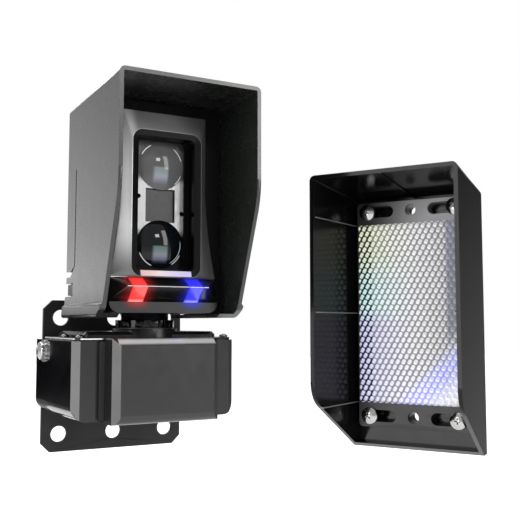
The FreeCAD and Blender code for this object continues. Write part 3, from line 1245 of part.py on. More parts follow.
def hood_side_view():
    """The hood from the side: the mouth's edge swings back below, and the foot reaches rearward."""
    top = HOOD_TOP_Z + 1
    bottom = HOOD_BOTTOM_Z - 1
    return [
        (HOOD_BACK_Y, top), (HOOD_MOUTH_Y, top), (HOOD_MOUTH_Y, HOOD_CUT_START_Z, HOOD_CUT_BLEND),
        (HOOD_CUT_END_Y, HOOD_CUT_END_Z, HOOD_FOOT_BLEND), (HOOD_FOOT_Y, bottom),
        (HOOD_SKIRT_BACK_Y, bottom), (HOOD_BACK_Y, HOOD_SKIRT_START_Z, HOOD_BACK_RADIUS),
    ]


def hood_slits(inner, outer):
    """What is cut through one cheek: the spring tab's slit, its notch and the latch window."""
    half = TAB_SLIT_WIDTH / 2
    cut = block(inner, outer, TAB_SLIT_Y - half, TAB_SLIT_Y + half, TAB_SLIT_BOTTOM_Z, TAB_SLIT_TOP_Z)
    cut = cut.fuse(rod("x", (TAB_SLIT_Y, TAB_SLIT_TOP_Z), half, inner, outer))
    notch_mid = (TAB_NOTCH_BOTTOM_Z + TAB_NOTCH_TOP_Z) / 2
    hook = [(TAB_SLIT_Y - half, TAB_SLIT_BOTTOM_Z), (TAB_SLIT_Y + half, TAB_SLIT_BOTTOM_Z),
            (TAB_HOOK_Y + half, notch_mid + half), (TAB_HOOK_Y + half, notch_mid - half),
            (TAB_HOOK_Y - half, notch_mid - half)]
    cut = cut.fuse(prism(hook, "yz", inner, outer))
    cut = cut.fuse(block(inner, outer, TAB_HOOK_Y, 0, TAB_NOTCH_BOTTOM_Z, TAB_NOTCH_TOP_Z))
    window = block(inner, outer, LATCH_WINDOW_FRONT_Y, 0, LATCH_WINDOW_BOTTOM_Z, LATCH_WINDOW_TOP_Z)
    return cut.fuse(window)


def make_sensor_hood():
    """The rain and sun hood that slides over the head."""
    body = prism(hood_section(), "xz", HOOD_MOUTH_Y, HOOD_SKIRT_BACK_Y)
    reach = HOOD_WIDTH / 2 + HOOD_SKIRT_FLARE + 1
    body = body.common(prism(hood_side_view(), "yz", -reach, reach))
    inner = HOOD_WIDTH / 2 - HOOD_WALL - HOOD_GAP
    body = body.cut(hood_slits(inner, reach))
    return body.cut(mirrored(hood_slits(inner, reach)))


# Reflector unit
def placed_reflector(shape):
    """Moves a piece of the reflector unit from its own frame to its place beside the sensor."""
    turn = FreeCAD.Rotation(V(0, 0, 1), REFLECTOR_TURN)
    shape.Placement = FreeCAD.Placement(V(REFLECTOR_X, REFLECTOR_Y, REFLECTOR_Z), turn)
    return shape


def shade_rim(y, inset):
    """The shade's outline at a depth; it widens and rises evenly from the back to the mouth."""
    share = (SHADE_BACK_Y - y) / (SHADE_BACK_Y - SHADE_MOUTH_Y)
    half = (SHADE_BACK_WIDTH + share * (SHADE_MOUTH_WIDTH - SHADE_BACK_WIDTH)) / 2 - inset
    top = SHADE_BACK_TOP_Z + share * (SHADE_MOUTH_TOP_Z - SHADE_BACK_TOP_Z) - inset
    radius = max(SHADE_CORNER_RADIUS - inset, 0.6)
    return rounded_wire([(-half, SHADE_BOTTOM_Z + inset), (half, SHADE_BOTTOM_Z + inset),
                         (half, top, radius), (-half, top, radius)], "xz", y)


def fixing_places():
    """Where the four screws of the reflector stand, seen from the front."""
    return [(side * REFLECTOR_SCREW_X, level * FIXING_Z) for side in (-1, 1) for level in (-1, 1)]


def make_reflector_hood():
    """The flared shade of the reflector, cut away below so that it drains."""
    front = SHADE_MOUTH_Y - 1
    body = Part.makeLoft([shade_rim(SHADE_BACK_Y, 0), shade_rim(SHADE_MOUTH_Y, 0)], True, True)
    body = body.cut(Part.makeLoft([shade_rim(SHADE_FLOOR_Y, SHADE_WALL), shade_rim(front, SHADE_WALL)],
                                  True, True))
    for level in (-1, 0, 1):
        z = level * SHADE_RIB_SPACING
        for side in (-1, 1):
            body = body.fuse(shade_rib(side, z))
    half = SHADE_RIB_WIDTH / 2
    roof_back = SHADE_BACK_TOP_Z - SHADE_WALL - SHADE_RIB_HEIGHT
    roof_front = SHADE_MOUTH_TOP_Z - SHADE_WALL - SHADE_RIB_HEIGHT
    rib = [(SHADE_FLOOR_Y, roof_back), (SHADE_MOUTH_Y, roof_front),
           (SHADE_MOUTH_Y, roof_front + SHADE_RIB_ROOT), (SHADE_FLOOR_Y, roof_back + SHADE_RIB_ROOT)]
    body = body.fuse(prism(rib, "yz", -half, half))
    side_view = [
        (SHADE_BACK_Y, SHADE_MOUTH_TOP_Z + 1), (SHADE_MOUTH_Y, SHADE_MOUTH_TOP_Z + 1),
        (SHADE_MOUTH_Y, SHADE_CUT_START_Z, SHADE_CUT_BLEND), (SHADE_CUT_END_Y, SHADE_BOTTOM_Z),
        (SHADE_BACK_Y, SHADE_BOTTOM_Z),
    ]
    body = body.common(prism(side_view, "yz", -SHADE_MOUTH_WIDTH, SHADE_MOUTH_WIDTH))
    for x, z in fixing_places():
        body = body.cut(rod("y", (x, z), REFLECTOR_SCREW_DIAMETER / 2 + SEAT_CLEARANCE,
                            SHADE_FLOOR_Y - 1, SHADE_BACK_Y - SHADE_SCREW_FLOOR))
    for level in (-1, 1):
        body = body.cut(rod("y", (0, level * FIXING_Z), POST_HOLE_DIAMETER / 2, -THROUGH, THROUGH))
    return body.removeSplitter()


def shade_rib(side, z):
    """A low rib along the inside of a cheek, from the floor to the mouth."""
    back = SHADE_BACK_WIDTH / 2 - SHADE_WALL - SHADE_RIB_HEIGHT
    front = SHADE_MOUTH_WIDTH / 2 - SHADE_WALL - SHADE_RIB_HEIGHT
    plan = [(side * back, SHADE_FLOOR_Y), (side * front, SHADE_MOUTH_Y),
            (side * (front + SHADE_RIB_ROOT), SHADE_MOUTH_Y),
            (side * (back + SHADE_RIB_ROOT), SHADE_FLOOR_Y)]
    half = SHADE_RIB_WIDTH / 2
    return prism(plan, "xy", z - half, z + half)


def make_reflector_tray():
    """The black tray: a seat for the prism panel, slotted ends and two post holes."""
    half = TRAY_WIDTH / 2
    outline = rectangle(-half, half, TRAY_BOTTOM_Z, TRAY_TOP_Z, TRAY_CORNER_RADIUS)
    body = prism(outline, "xz", TRAY_FACE_Y, SHADE_FLOOR_Y)
    fit = SEAT_CLEARANCE
    seat_x = PANEL_WIDTH / 2 + fit
    seat_z = PANEL_HEIGHT / 2 + fit
    seat = rectangle(-seat_x, seat_x, -seat_z, seat_z)
    body = body.cut(prism(seat, "xz", TRAY_FACE_Y - 1, PANEL_BACK_Y))
    hollow = rectangle(-half + TRAY_FLOOR, half - TRAY_FLOOR, -PANEL_HEIGHT / 2 + TRAY_FLOOR,
                       PANEL_HEIGHT / 2 - TRAY_FLOOR, 2.0)
    body = body.cut(prism(hollow, "xz", PANEL_BACK_Y + TRAY_FLOOR, SHADE_FLOOR_Y + 1))
    run = SLOT_LENGTH / 2
    width = SLOT_WIDTH / 2
    for level in (-1, 1):
        z = level * FIXING_Z
        for side in (-1, 1):
            centre = side * SLOT_CENTRE_X
            slot = rectangle(centre - run, centre + run, z - width, z + width, width - 0.01)
            body = body.cut(prism(slot, "xz", TRAY_FACE_Y - 1, SHADE_FLOOR_Y + 1))
        body = body.cut(rod("y", (0, z), POST_HOLE_DIAMETER / 2, TRAY_FACE_Y - 1, SHADE_FLOOR_Y + 1))
    return body


def cell_corners(x, z):
    """A cell's centre and its six rim points, as (x, z, step); the steps are the cube's levels."""
    reach = CELL_PITCH / math.sqrt(3)
    rim = []
    for index in range(6):
        angle = math.radians(90 + 60 * index)
        rim.append((x + reach * math.cos(angle), z + reach * math.sin(angle), 1 + index % 2))
    return (x, z, 0), rim


def cell_step():
    """How far apart two levels of the cubes lie: an edge of the cube along its diagonal."""
    return CELL_PITCH / math.sqrt(6)


def clipped(corners, axis, limit, keep_below):
    """Cuts a flat polygon of the relief at a straight border of the panel."""
    kept = []
    for index, corner in enumerate(corners):
        after = corners[(index + 1) % len(corners)]
        here_in = (corner[axis] <= limit + 1e-9) if keep_below else (corner[axis] >= limit - 1e-9)
        after_in = (after[axis] <= limit + 1e-9) if keep_below else (after[axis] >= limit - 1e-9)
        if here_in:
            kept.append(corner)
        if here_in != after_in and abs(after[axis] - corner[axis]) > 1e-12:
            share = (limit - corner[axis]) / (after[axis] - corner[axis])
            kept.append(tuple(a + share * (b - a) for a, b in zip(corner, after)))
    return kept


def make_prism_panel():
    """The moulded panel: rows of corner cubes, each of three square faces that meet in its middle."""
    half_w = PANEL_WIDTH / 2
    half_h = PANEL_HEIGHT / 2
    row_step = CELL_PITCH * math.sqrt(3) / 2
    rows = int(half_h / row_step) + 2
    columns = int(half_w / CELL_PITCH) + 2
    step = cell_step()
    faces = []
    rims = {"left": [], "right": [], "bottom": [], "top": []}
    for row in range(-rows, rows + 1):
        z = row * row_step
        shift = CELL_PITCH / 2 if row % 2 else 0
        for column in range(-columns, columns + 1):
            middle, rim = cell_corners(column * CELL_PITCH + shift, z)
            for first in (1, 3, 5):
                square = [middle, rim[first - 1], rim[first], rim[(first + 1) % 6]]
                for axis, limit, below in ((0, -half_w, False), (0, half_w, True),
                                           (1, -half_h, False), (1, half_h, True)):
                    square = clipped(square, axis, limit, below)
                    if len(square) < 3:
                        break
                square = without_repeats(square)
                if len(square) < 3:
                    continue
                points = [V(p[0], p[2] * step, p[1]) for p in square]
                faces.append(Part.Face(Part.makePolygon(points + points[:1])))
                collect_rim(square, rims, half_w, half_h)
    back = rectangle(-half_w, half_w, -half_h, half_h)
    faces.append(Part.Face(rounded_wire(back, "xz", PANEL_BACK_Y)))
    faces.extend(edge_faces(rims, half_w, half_h, step))
    shell = Part.makeShell(faces)
    shell.sewShape()
    solid = Part.makeSolid(Part.Shell(shell.Faces))
    if solid.Volume < 0:
        solid.reverse()
    return solid


def without_repeats(corners):
    """Drops corners that fall on the one before them, and polygons with no area."""
    kept = []
    for corner in corners:
        if not kept or math.dist(corner[:2], kept[-1][:2]) > 1e-4:
            kept.append(corner)
    if len(kept) > 1 and math.dist(kept[0][:2], kept[-1][:2]) <= 1e-4:
        kept.pop()
    area = 0.0
    for index, corner in enumerate(kept):
        after = kept[(index + 1) % len(kept)]
        area += corner[0] * after[1] - after[0] * corner[1]
    return kept if abs(area) > 1e-3 else []


def collect_rim(corners, rims, half_w, half_h):
    """Remembers the corners of the relief that lie on a border of the panel."""
    for x, z, level in corners:
        if abs(x + half_w) < 1e-6:
            rims["left"].append((z, level))
        if abs(x - half_w) < 1e-6:
            rims["right"].append((z, level))
        if abs(z + half_h) < 1e-6:
            rims["bottom"].append((x, level))
        if abs(z - half_h) < 1e-6:
            rims["top"].append((x, level))


def edge_faces(rims, half_w, half_h, step):
    """The four flat edges of the panel, each bounded in front by the relief's own outline."""
    faces = []
    for name, entries in rims.items():
        line = []
        for place, level in sorted(entries):
            if not line or place - line[-1][0] > 1e-4:
                line.append((place, level))
        points = []
        for place, level in line:
            if name in ("left", "right"):
                points.append(V(-half_w if name == "left" else half_w, level * step, place))
            else:
                points.append(V(place, level * step, -half_h if name == "bottom" else half_h))
        first, last = points[0], points[-1]
        points.append(V(last.x, PANEL_BACK_Y, last.z))
        points.append(V(first.x, PANEL_BACK_Y, first.z))
        faces.append(Part.Face(Part.makePolygon(points + points[:1])))
    return faces


def make_reflector_screws():
    """The four screws that hold the tray in its shade."""
    screws = []
    for x, z in fixing_places():
        screws.append(pan_head_screw(V(x, TRAY_FACE_Y, z), V(0, -1, 0), REFLECTOR_SCREW_DIAMETER,
                                     REFLECTOR_SCREW_LENGTH, REFLECTOR_SCREW_HEAD_DIAMETER,
                                     REFLECTOR_SCREW_HEAD_HEIGHT))
    return group(screws)


NODES = {
    "wall_plate": make_wall_plate,
    "tilt_screws": make_tilt_screws,
    "star_washers": make_star_washers,
    "tilt_nuts": make_tilt_nuts,
    "pivot_bushings": make_pivot_bushings,
    "cradle": make_cradle,
    "rear_panel": make_rear_panel,
    "cable_grommet": make_cable_grommet,
    "cradle_lid": make_cradle_lid,
    "lid_screws": make_lid_screws,
    "front_cover": make_front_cover,
    "front_cover_gasket": make_cover_gasket,
    "terminal_board": make_terminal_board,
    "terminal_board_screws": make_terminal_board_screws,
    "terminal_block": make_terminal_block,
    "terminal_screws": make_terminal_screws,
    "friction_washer": make_friction_washer,
    "spring_washer": make_spring_washer,
    "swivel_post": make_swivel_post,
    "swivel_nut": make_swivel_nut,
    "head_case": make_head_case,
    "case_screws": make_case_screws,
    "case_gasket": make_case_gasket,
    "face_plate": make_face_plate,
    "bezel": make_bezel,
    "window_frame": make_window_frame,
    "lens_carrier": make_lens_carrier,
    "emitter_lens": lambda: make_lens(LENS_UPPER_Z),
    "receiver_lens": lambda: make_lens(LENS_LOWER_Z),
    "lens_tubes": make_lens_tubes,
    "emitter_led": lambda: make_led(0, LENS_UPPER_Z, BOARD_FRONT_Y),
    "receiver_diode": lambda: make_led(0, LENS_LOWER_Z, BOARD_FRONT_Y),
    "status_leds": make_status_leds,
    "main_board": make_main_board,
    "board_screws": make_board_screws,
    "relay": make_relay,
    "indicator_bar": make_indicator_bar,
    "red_light_pipe": lambda: make_light_pipe(-1),
    "blue_light_pipe": lambda: make_light_pipe(1),
    "lower_trim": make_lower_trim,
    "sensor_hood": make_sensor_hood,
}

REFLECTOR_NODES = {
    "reflector_hood": make_reflector_hood,
    "reflector_tray": make_reflector_tray,
    "prism_panel": make_prism_panel,
    "reflector_screws": make_reflector_screws,
}


def main():
    """Builds every piece and writes each to its own file."""
    os.makedirs("parts", exist_ok=True)
    for name, make in NODES.items():
        make().exportStep("parts/" + name + ".step")
    for name, make in REFLECTOR_NODES.items():
        placed_reflector(make()).exportStep("parts/" + name + ".step")


main()
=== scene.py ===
"""The looks of a hooded gate sensor and its reflector: finishes, lens glass, screws, lamps and camera.

Every length in this file is in metres, in the model's own frame: X to the right as one looks at the
lenses, Y into the wall, Z up, with the origin in the middle of the wall plate's hole pattern.
"""

import json
import logging
import math
from dataclasses import dataclass, field, replace
from enum import Enum
from functools import reduce
from typing import Callable, ClassVar, Sequence

import bpy
from mathutils import Matrix, Vector

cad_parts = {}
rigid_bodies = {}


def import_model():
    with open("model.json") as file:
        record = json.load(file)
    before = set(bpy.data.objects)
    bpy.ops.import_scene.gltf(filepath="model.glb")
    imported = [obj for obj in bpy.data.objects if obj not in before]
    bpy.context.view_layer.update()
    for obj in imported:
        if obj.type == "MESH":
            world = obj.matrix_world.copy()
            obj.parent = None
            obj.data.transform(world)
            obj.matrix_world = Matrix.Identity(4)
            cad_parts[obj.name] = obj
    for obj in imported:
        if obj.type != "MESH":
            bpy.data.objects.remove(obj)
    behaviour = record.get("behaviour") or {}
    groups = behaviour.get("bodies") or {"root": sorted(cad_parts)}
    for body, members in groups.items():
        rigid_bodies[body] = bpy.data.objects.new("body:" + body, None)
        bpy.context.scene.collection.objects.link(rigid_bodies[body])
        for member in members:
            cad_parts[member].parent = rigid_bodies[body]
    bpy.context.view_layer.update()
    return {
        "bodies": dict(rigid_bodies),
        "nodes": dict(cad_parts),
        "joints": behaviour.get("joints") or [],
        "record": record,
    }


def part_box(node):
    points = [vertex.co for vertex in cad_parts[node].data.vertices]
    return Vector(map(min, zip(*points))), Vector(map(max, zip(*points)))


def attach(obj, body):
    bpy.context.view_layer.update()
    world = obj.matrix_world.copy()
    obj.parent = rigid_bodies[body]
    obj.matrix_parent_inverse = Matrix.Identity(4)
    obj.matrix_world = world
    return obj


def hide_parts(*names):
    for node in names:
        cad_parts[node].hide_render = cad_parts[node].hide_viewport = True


LOG = logging.getLogger("gate_sensor")
MM = 0.001

Piece = bpy.types.Object
Socket = bpy.types.NodeSocket
Value = Socket | float | tuple | Vector
Inputs = dict[str | int, Value]
Colour = tuple[float, float, float]
Point = tuple[float, float, float]
Span = tuple[float, float]
Stops = Sequence[tuple[float, Colour]]
# A direction, the low and the high limit along it, and how far both are blurred
Limit = tuple[Point, float, float, float]
Limits = tuple[Limit, ...]

X_AXIS: Point = (1.0, 0.0, 0.0)
Y_AXIS: Point = (0.0, 1.0, 0.0)
Z_AXIS: Point = (0.0, 0.0, 1.0)
# Past every piece, for a zone that is open on one side
BEYOND = 1.0
RISING: Span = (0.0, 1.0)
FALLING: Span = (1.0, 0.0)
# Where most of a noise lies
NOISE_RANGE: Span = (0.3, 0.7)
WHITE: Colour = (1.0, 1.0, 1.0)
EVEN: Point = (1.0, 1.0, 1.0)
# A painted highlight line along the ridge of the light bar and its light pipes
RIDGE_HIGHLIGHT: Limit = (Z_AXIS, 47.87 * MM, 48.17 * MM, 0.08 * MM)

# How near to a height a face lies, and how squarely it looks up or down, where it is picked by them
NEAR = 1e-6
SQUARE = 0.99


class Body(Enum):
    """The bodies of the model that move by themselves."""

    ROOT = "root"
    CRADLE = "cradle"
    HEAD = "head"
    HOOD = "hood"


class Side(Enum):
    """Left and right, as one looks at the lenses."""

    LEFT = -1
    RIGHT = 1


def tune(thing: bpy.types.bpy_struct, **settings: object) -> None:
    """Sets properties of a node, a modifier, a lamp or a piece."""
    for key, value in settings.items():
        setattr(thing, key, value)


class Bench:
    """The node tree of a material or of the surround, with a short method for each kind of node."""

    def __init__(self, owner: bpy.types.Material | bpy.types.World, shader: str = "Principled BSDF") -> None:
        """Opens the node tree.

        Args:
            owner: What the tree belongs to.
            shader: The name of the shader that is fed.
        """
        owner.use_nodes = True
        self.owner = owner
        self.tree = owner.node_tree
        self.shader = self.tree.nodes[shader]

    def feed(self, target: Socket, value: Value) -> None:
        """Links an output to an input, or sets the input to a plain value.

        Args:
            target: The input.
            value: An output, a number, a vector or a colour.
        """
        if isinstance(value, Socket):
            self.tree.links.new(value, target)
        else:
            target.default_value = (*value, 1.0) if target.type == "RGBA" else value

    def shade(self, **values: Value) -> None:
        """Feeds inputs of the shader; an underscore in a name stands for a space."""
        for key, value in values.items():
            self.feed(self.shader.inputs[key.replace("_", " ")], value)

    def add(self, kind: str, inputs: Inputs | None = None, **settings: object) -> bpy.types.Node:
        """Adds a node, sets its properties and feeds its inputs.

        Args:
            kind: The node's type name, without its prefix.
            inputs: What its inputs get, by their names or numbers.
            settings: Properties of the node and their values.

        Returns:
            The new node.
        """
        node = self.tree.nodes.new("ShaderNode" + kind)
        tune(node, **settings)
        for key, value in (inputs or {}).items():
            self.feed(node.inputs[key], value)
        return node

    def place(self) -> Socket:
        """Returns the object coordinates of the surface."""
        return self.add("TexCoord").outputs["Object"]

    def stretched(self, scale: Point = EVEN, turn: Point = (0.0, 0.0, 0.0)) -> Socket:
        """Returns the object coordinates, stretched and turned by a factor and an angle for each axis."""
        inputs = {"Vector": self.place(), "Scale": scale, "Rotation": turn}
        return self.add("Mapping", inputs).outputs["Vector"]

    def axis(self, name: str, vector: Socket | None = None) -> Socket:
        """Returns one coordinate, X, Y or Z, of the object coordinates or of a given vector."""
        return self.add("SeparateXYZ", {"Vector": vector or self.place()}).outputs[name]

    def along(self, vector: Socket, direction: Point) -> Socket:
        """Measures how far a vector reaches along a direction, times that direction's length."""
        return self.add("VectorMath", {0: vector, 1: direction}, operation="DOT_PRODUCT").outputs["Value"]

    def noise(self, size: float, detail: float = 3.0, vector: Socket | None = None) -> Socket:
        """Returns a noise from 0 to 1 whose blotches have about the given size."""
        inputs = {"Vector": vector or self.place(), "Scale": 1.0 / size, "Detail": detail}
        return self.add("TexNoise", inputs).outputs["Fac"]

    def math(self, operation: str, first: Value, second: Value = 0.0) -> Socket:
        """Combines two values, or changes the first one, by an operation that has Blender's name."""
        return self.add("Math", {0: first, 1: second}, operation=operation).outputs["Value"]

    def product(self, *factors: Value) -> Socket:
        """Multiplies values, from the first to the last."""
        return reduce(lambda before, factor: self.math("MULTIPLY", before, factor), factors)

    def diagonal(self, first: Socket, second: Socket) -> Socket:
        """Gives the length of the diagonal over two values."""
        squared = self.math("ADD", self.product(first, first), self.product(second, second))
        return self.math("SQRT", squared)

    def away(self, value: Socket, centre: float) -> Socket:
        """Gives how far a value is from a centre."""
        return self.math("ABSOLUTE", self.math("SUBTRACT", value, centre))

    def remap(self, value: Socket, span: Span, to: Span) -> Socket:
        """Maps one range of a value smoothly to another."""
        inputs = dict(zip(("Value", "From Min", "From Max", "To Min", "To Max"), (value, *span, *to)))
        return self.add("MapRange", inputs, interpolation_type="SMOOTHSTEP").outputs["Result"]

    def between(self, value: Socket, opening: Span, closing: Span) -> Socket:
        """Gives a share that rises from 0 to 1 over one range of a value and falls back over another."""
        return self.product(self.remap(value, opening, RISING), self.remap(value, closing, FALLING))

    def within(self, limits: Limits) -> Socket:
        """Gives 1 inside all of the limits and 0 outside them."""
        return self.product(*(self.between(
            self.along(self.place(), direction), (low - soft, low + soft), (high - soft, high + soft))
            for direction, low, high, soft in limits))

    def wrapped(self, vector: Socket, shift: Point, cell: Point) -> Socket:
        """Folds a vector, moved by a shift, into one cell of a lattice that is centred on its point."""
        moved = self.add("VectorMath", {0: vector, 1: shift}, operation="ADD").outputs["Vector"]
        return self.add("VectorMath", {0: moved, 1: Vector(cell) / 2, 2: Vector(cell) / -2},
                        operation="WRAP").outputs["Vector"]

    def ramp(self, value: Socket, stops: Stops) -> Socket:
        """Colours a value by stops.

        Args:
            value: The value, from 0 to 1.
            stops: Places and their colours, in rising order.

        Returns:
            The colour.
        """
        node = self.add("ValToRGB", {"Fac": value})
        elements = node.color_ramp.elements
        while len(elements) < len(stops):
            elements.new(0.5)
        for element, (position, colour) in zip(elements, stops):
            element.position = position
            element.color = (*colour, 1.0)
        return node.outputs["Color"]

    def mix(self, share: Socket, first: Value, second: Value, blend: str = "MIX") -> Socket:
        """Mixes two colours, taking a share of the second one, in a way that has Blender's name."""
        inputs = {"Factor": share, 6: first, 7: second}
        return self.add("Mix", inputs, data_type="RGBA", blend_type=blend).outputs[2]

    def bump(self, height: Socket, depth: float, below: Socket | None = None) -> Socket:
        """Turns a height into relief of a given depth, on top of a coarser relief if there is one."""
        inputs = {"Distance": depth, "Height": height} | ({"Normal": below} if below else {})
        return self.add("Bump", {"Strength": 1.0} | inputs).outputs["Normal"]

    def grain(self, size: float, depth: float, detail: float = 1.0, below: Socket | None = None) -> Socket:
        """Gives a relief of grains of one size."""
        return self.bump(self.noise(size, detail), depth, below)

    def clouded(self, size: float, dark: Colour, pale: Colour, detail: float = 3.0) -> Socket:
        """Gives a colour that wanders between two in blotches of one size."""
        return self.ramp(self.noise(size, detail), tuple(zip(NOISE_RANGE, (dark, pale))))

    def worn(self, size: float, gloss: Span, detail: float = 3.0) -> Socket:
        """Gives a roughness that wanders between two values in blotches of one size."""
        return self.remap(self.noise(size, detail), NOISE_RANGE, gloss)


@dataclass(frozen=True)
class Finish:
    """What every finish has: a name, a colour and a roughness."""

    name: str
    colour: Colour
    roughness: float

    def toned(self, factor: float) -> Colour:
        """Returns the colour times a factor."""
        return tuple(channel * factor for channel in self.colour)

    def rougher(self, step: float) -> Span:
        """Returns the range from the roughness to a step above it."""
        return self.roughness, self.roughness + step

    def dress(self, bench: Bench) -> None:
        """Feeds the shader what the finish needs; each kind of finish has its own."""
        raise NotImplementedError

    def material(self) -> bpy.types.Material:
        """Builds the material.

        Returns:
            The finished material.
        """
        bench = Bench(bpy.data.materials.new(self.name))
        self.dress(bench)
        return bench.owner


@dataclass(frozen=True)
class Patch:
    """A zone of a surface that gets a colour of its own; each patch in this script is painted light, a
    highlight or a spill of light.
    """

    colour: Colour
    limits: Limits
    share: float = 1.0


@dataclass(frozen=True)
class Moulded(Finish):
    """Moulded plastic or rubber: a fine spark-eroded grain, faint flow marks and handling marks."""

    grain: float = 0.35 * MM
    grain_depth: float = 0.012 * MM
    flow: float = 40 * MM
    flow_tones: Span = (0.93, 1.07)
    smudge: float = 8 * MM
    sheen_spread: float = 0.03
    specular: float = 0.5
    patches: tuple[Patch, ...] = ()

    def dress(self, bench: Bench) -> None:
        """Feeds colour, gloss and grain, and lays the painted light of its patches over the colour.

        Args:
            bench: The material's node tree.
        """
        colour = bench.clouded(self.flow, *map(self.toned, self.flow_tones), 2.0)
        for patch in self.patches:
            share = bench.product(bench.within(patch.limits), patch.share)
            colour = bench.mix(share, colour, patch.colour)
        gloss = self.roughness - self.sheen_spread, self.roughness + self.sheen_spread
        bench.shade(Base_Color=colour, Roughness=bench.worn(self.smudge, gloss, 5.0),
                    Normal=bench.grain(self.grain, self.grain_depth), Specular_IOR_Level=self.specular)


@dataclass(frozen=True)
class PowderCoat(Finish):
    """Powder coat on steel: an orange-peel surface, rubbed a little paler in blotches."""

    blotch: float = 22 * MM
    peel: float = 1.6 * MM
    peel_depth: float = 0.02 * MM
    fine_share: float = 1 / 6
    specular: float = 0.22

    def dress(self, bench: Bench) -> None:
        """Feeds colour, gloss and orange peel.

        Args:
            bench: The material's node tree.
        """
        rubbed = bench.noise(self.blotch, 6.0)
        colour = bench.ramp(rubbed, ((0.35, self.toned(0.85)), (0.62, self.colour), (0.75, self.toned(1.5))))
        gloss = bench.remap(rubbed, (0.3, 0.75), (self.roughness + 0.08, self.roughness - 0.06))
        coarse = bench.grain(self.peel, self.peel_depth)
        fine = bench.grain(self.peel * self.fine_share, self.peel_depth * self.fine_share, below=coarse)
        bench.shade(Base_Color=colour, Roughness=gloss, Normal=fine, Specular_IOR_Level=self.specular)


@dataclass(frozen=True)
class Metal(Finish):
    """Bare, plated or lacquered metal with fine marks along one direction."""

    metallic: float = 1.0
    stroke: Point = (1.0, 1.0, 12.0)
    stroke_size: float = 1.2 * MM
    stroke_depth: float = 0.004 * MM
    gloss_spread: float = 0.25
    tarnish: float = 0.12
    tarnish_size: float = 9 * MM

    def dress(self, bench: Bench) -> None:
        """Feeds colour, gloss and strokes.

        Args:
            bench: The material's node tree.
        """
        strokes = bench.noise(self.stroke_size, 4.0, bench.stretched(self.stroke))
        gloss = self.roughness * (1 - self.gloss_spread), self.roughness * (1 + self.gloss_spread)
        bench.shade(Base_Color=self.tone(bench), Roughness=bench.remap(strokes, NOISE_RANGE, gloss),
                    Normal=bench.bump(strokes, self.stroke_depth), Metallic=self.metallic)

    def tone(self, bench: Bench) -> Socket:
        """Returns the colour, clouded by a little tarnish."""
        dark, pale = self.toned(1.0 - self.tarnish), self.toned(1.0 + self.tarnish / 2)
        return bench.clouded(self.tarnish_size, dark, pale, 4.0)


@dataclass(frozen=True)
class BezelLacquerWithPaintedLight(Metal):
    """Dark silver lacquer, with a painted highlight on the left skirt and along the lip at its foot, and
    painted shade towards the right and the foot.
    """

    # The colours of the painted highlight and of the painted shade
    bright: Colour = (0.92, 0.92, 0.93)
    dark: Colour = (0.06, 0.06, 0.062)
    rim_x: float = 18.6 * MM
    foot_z: float = 58 * MM
    waist_z: float = 92 * MM
    top_z: float = 137 * MM
    # The painted highlight line along the foot of the left skirt
    lip_highlight: Limits = ((X_AXIS, -BEYOND, -20 * MM, 0.5 * MM), (Z_AXIS, -BEYOND, 52.95 * MM, 0.08 * MM))

    def tone(self, bench: Bench) -> Socket:
        """Paints shade across and down the bezel, and a painted highlight on its left skirt and its lip.

        Args:
            bench: The material's node tree.

        Returns:
            The colour.
        """
        across, rise = bench.axis("X"), bench.axis("Z")
        # Painted shade, darker towards the right and the foot
        right = bench.remap(across, (-0.2 * self.rim_x, 1.2 * self.rim_x), RISING)
        foot = bench.remap(rise, (self.foot_z, self.waist_z), (0.7, 0.0))
        fading = bench.mix(foot, bench.mix(right, super().tone(bench), self.dark), self.dark)
        # Painted highlight on the left skirt, fading towards the foot and the top
        skirt = bench.remap(across, (-self.rim_x - 2.2 * MM, -self.rim_x + 3.6 * MM), FALLING)
        lower = bench.remap(rise, (self.foot_z - 3 * MM, self.waist_z - 10 * MM), (0.05, 1.0))
        upper = bench.remap(rise, (self.waist_z + 6 * MM, self.top_z), (1.0, 0.35))
        painted_highlight_share = bench.math("MAXIMUM", bench.product(lower, upper, skirt), bench.within(self.lip_highlight))
        return bench.mix(painted_highlight_share, fading, self.bright)


@dataclass(frozen=True)
class CarrierSilver(Metal):
    """Silver on the flanks between the lenses only, with painted shade elsewhere: grey round the upper lens
    and on the sunk channel floor, black round the lower one.
    """

    grey: Colour = (0.036, 0.036, 0.037)
    black: Colour = (0.004, 0.004, 0.005)
    face_y: float = -75.3 * MM
    upper_z: float = 102 * MM
    lower_z: float = 79 * MM

    def tone(self, bench: Bench) -> Socket:
        """Lays the silver between the lenses and paints shade over the rest: grey on the channel's floor and
        round the upper lens, black round the lower one.

        Args:
            bench: The material's node tree.

        Returns:
            The colour.
        """
        rise = bench.axis("Z")
        # Painted shade: grey round the upper lens and on the sunk channel floor, black round the lower lens
        above = bench.remap(rise, (self.upper_z, self.upper_z + 4 * MM), RISING)
        sunk_painted_shade = bench.remap(bench.axis("Y"), (self.face_y + 0.5 * MM, self.face_y + 0.9 * MM), RISING)
        below = bench.remap(rise, (self.lower_z - 5 * MM, self.lower_z), FALLING)
        colour = super().tone(bench)
        for share, cover in ((above, self.grey), (sunk_painted_shade, self.grey), (below, self.black)):
            colour = bench.mix(share, colour, cover)
        return colour


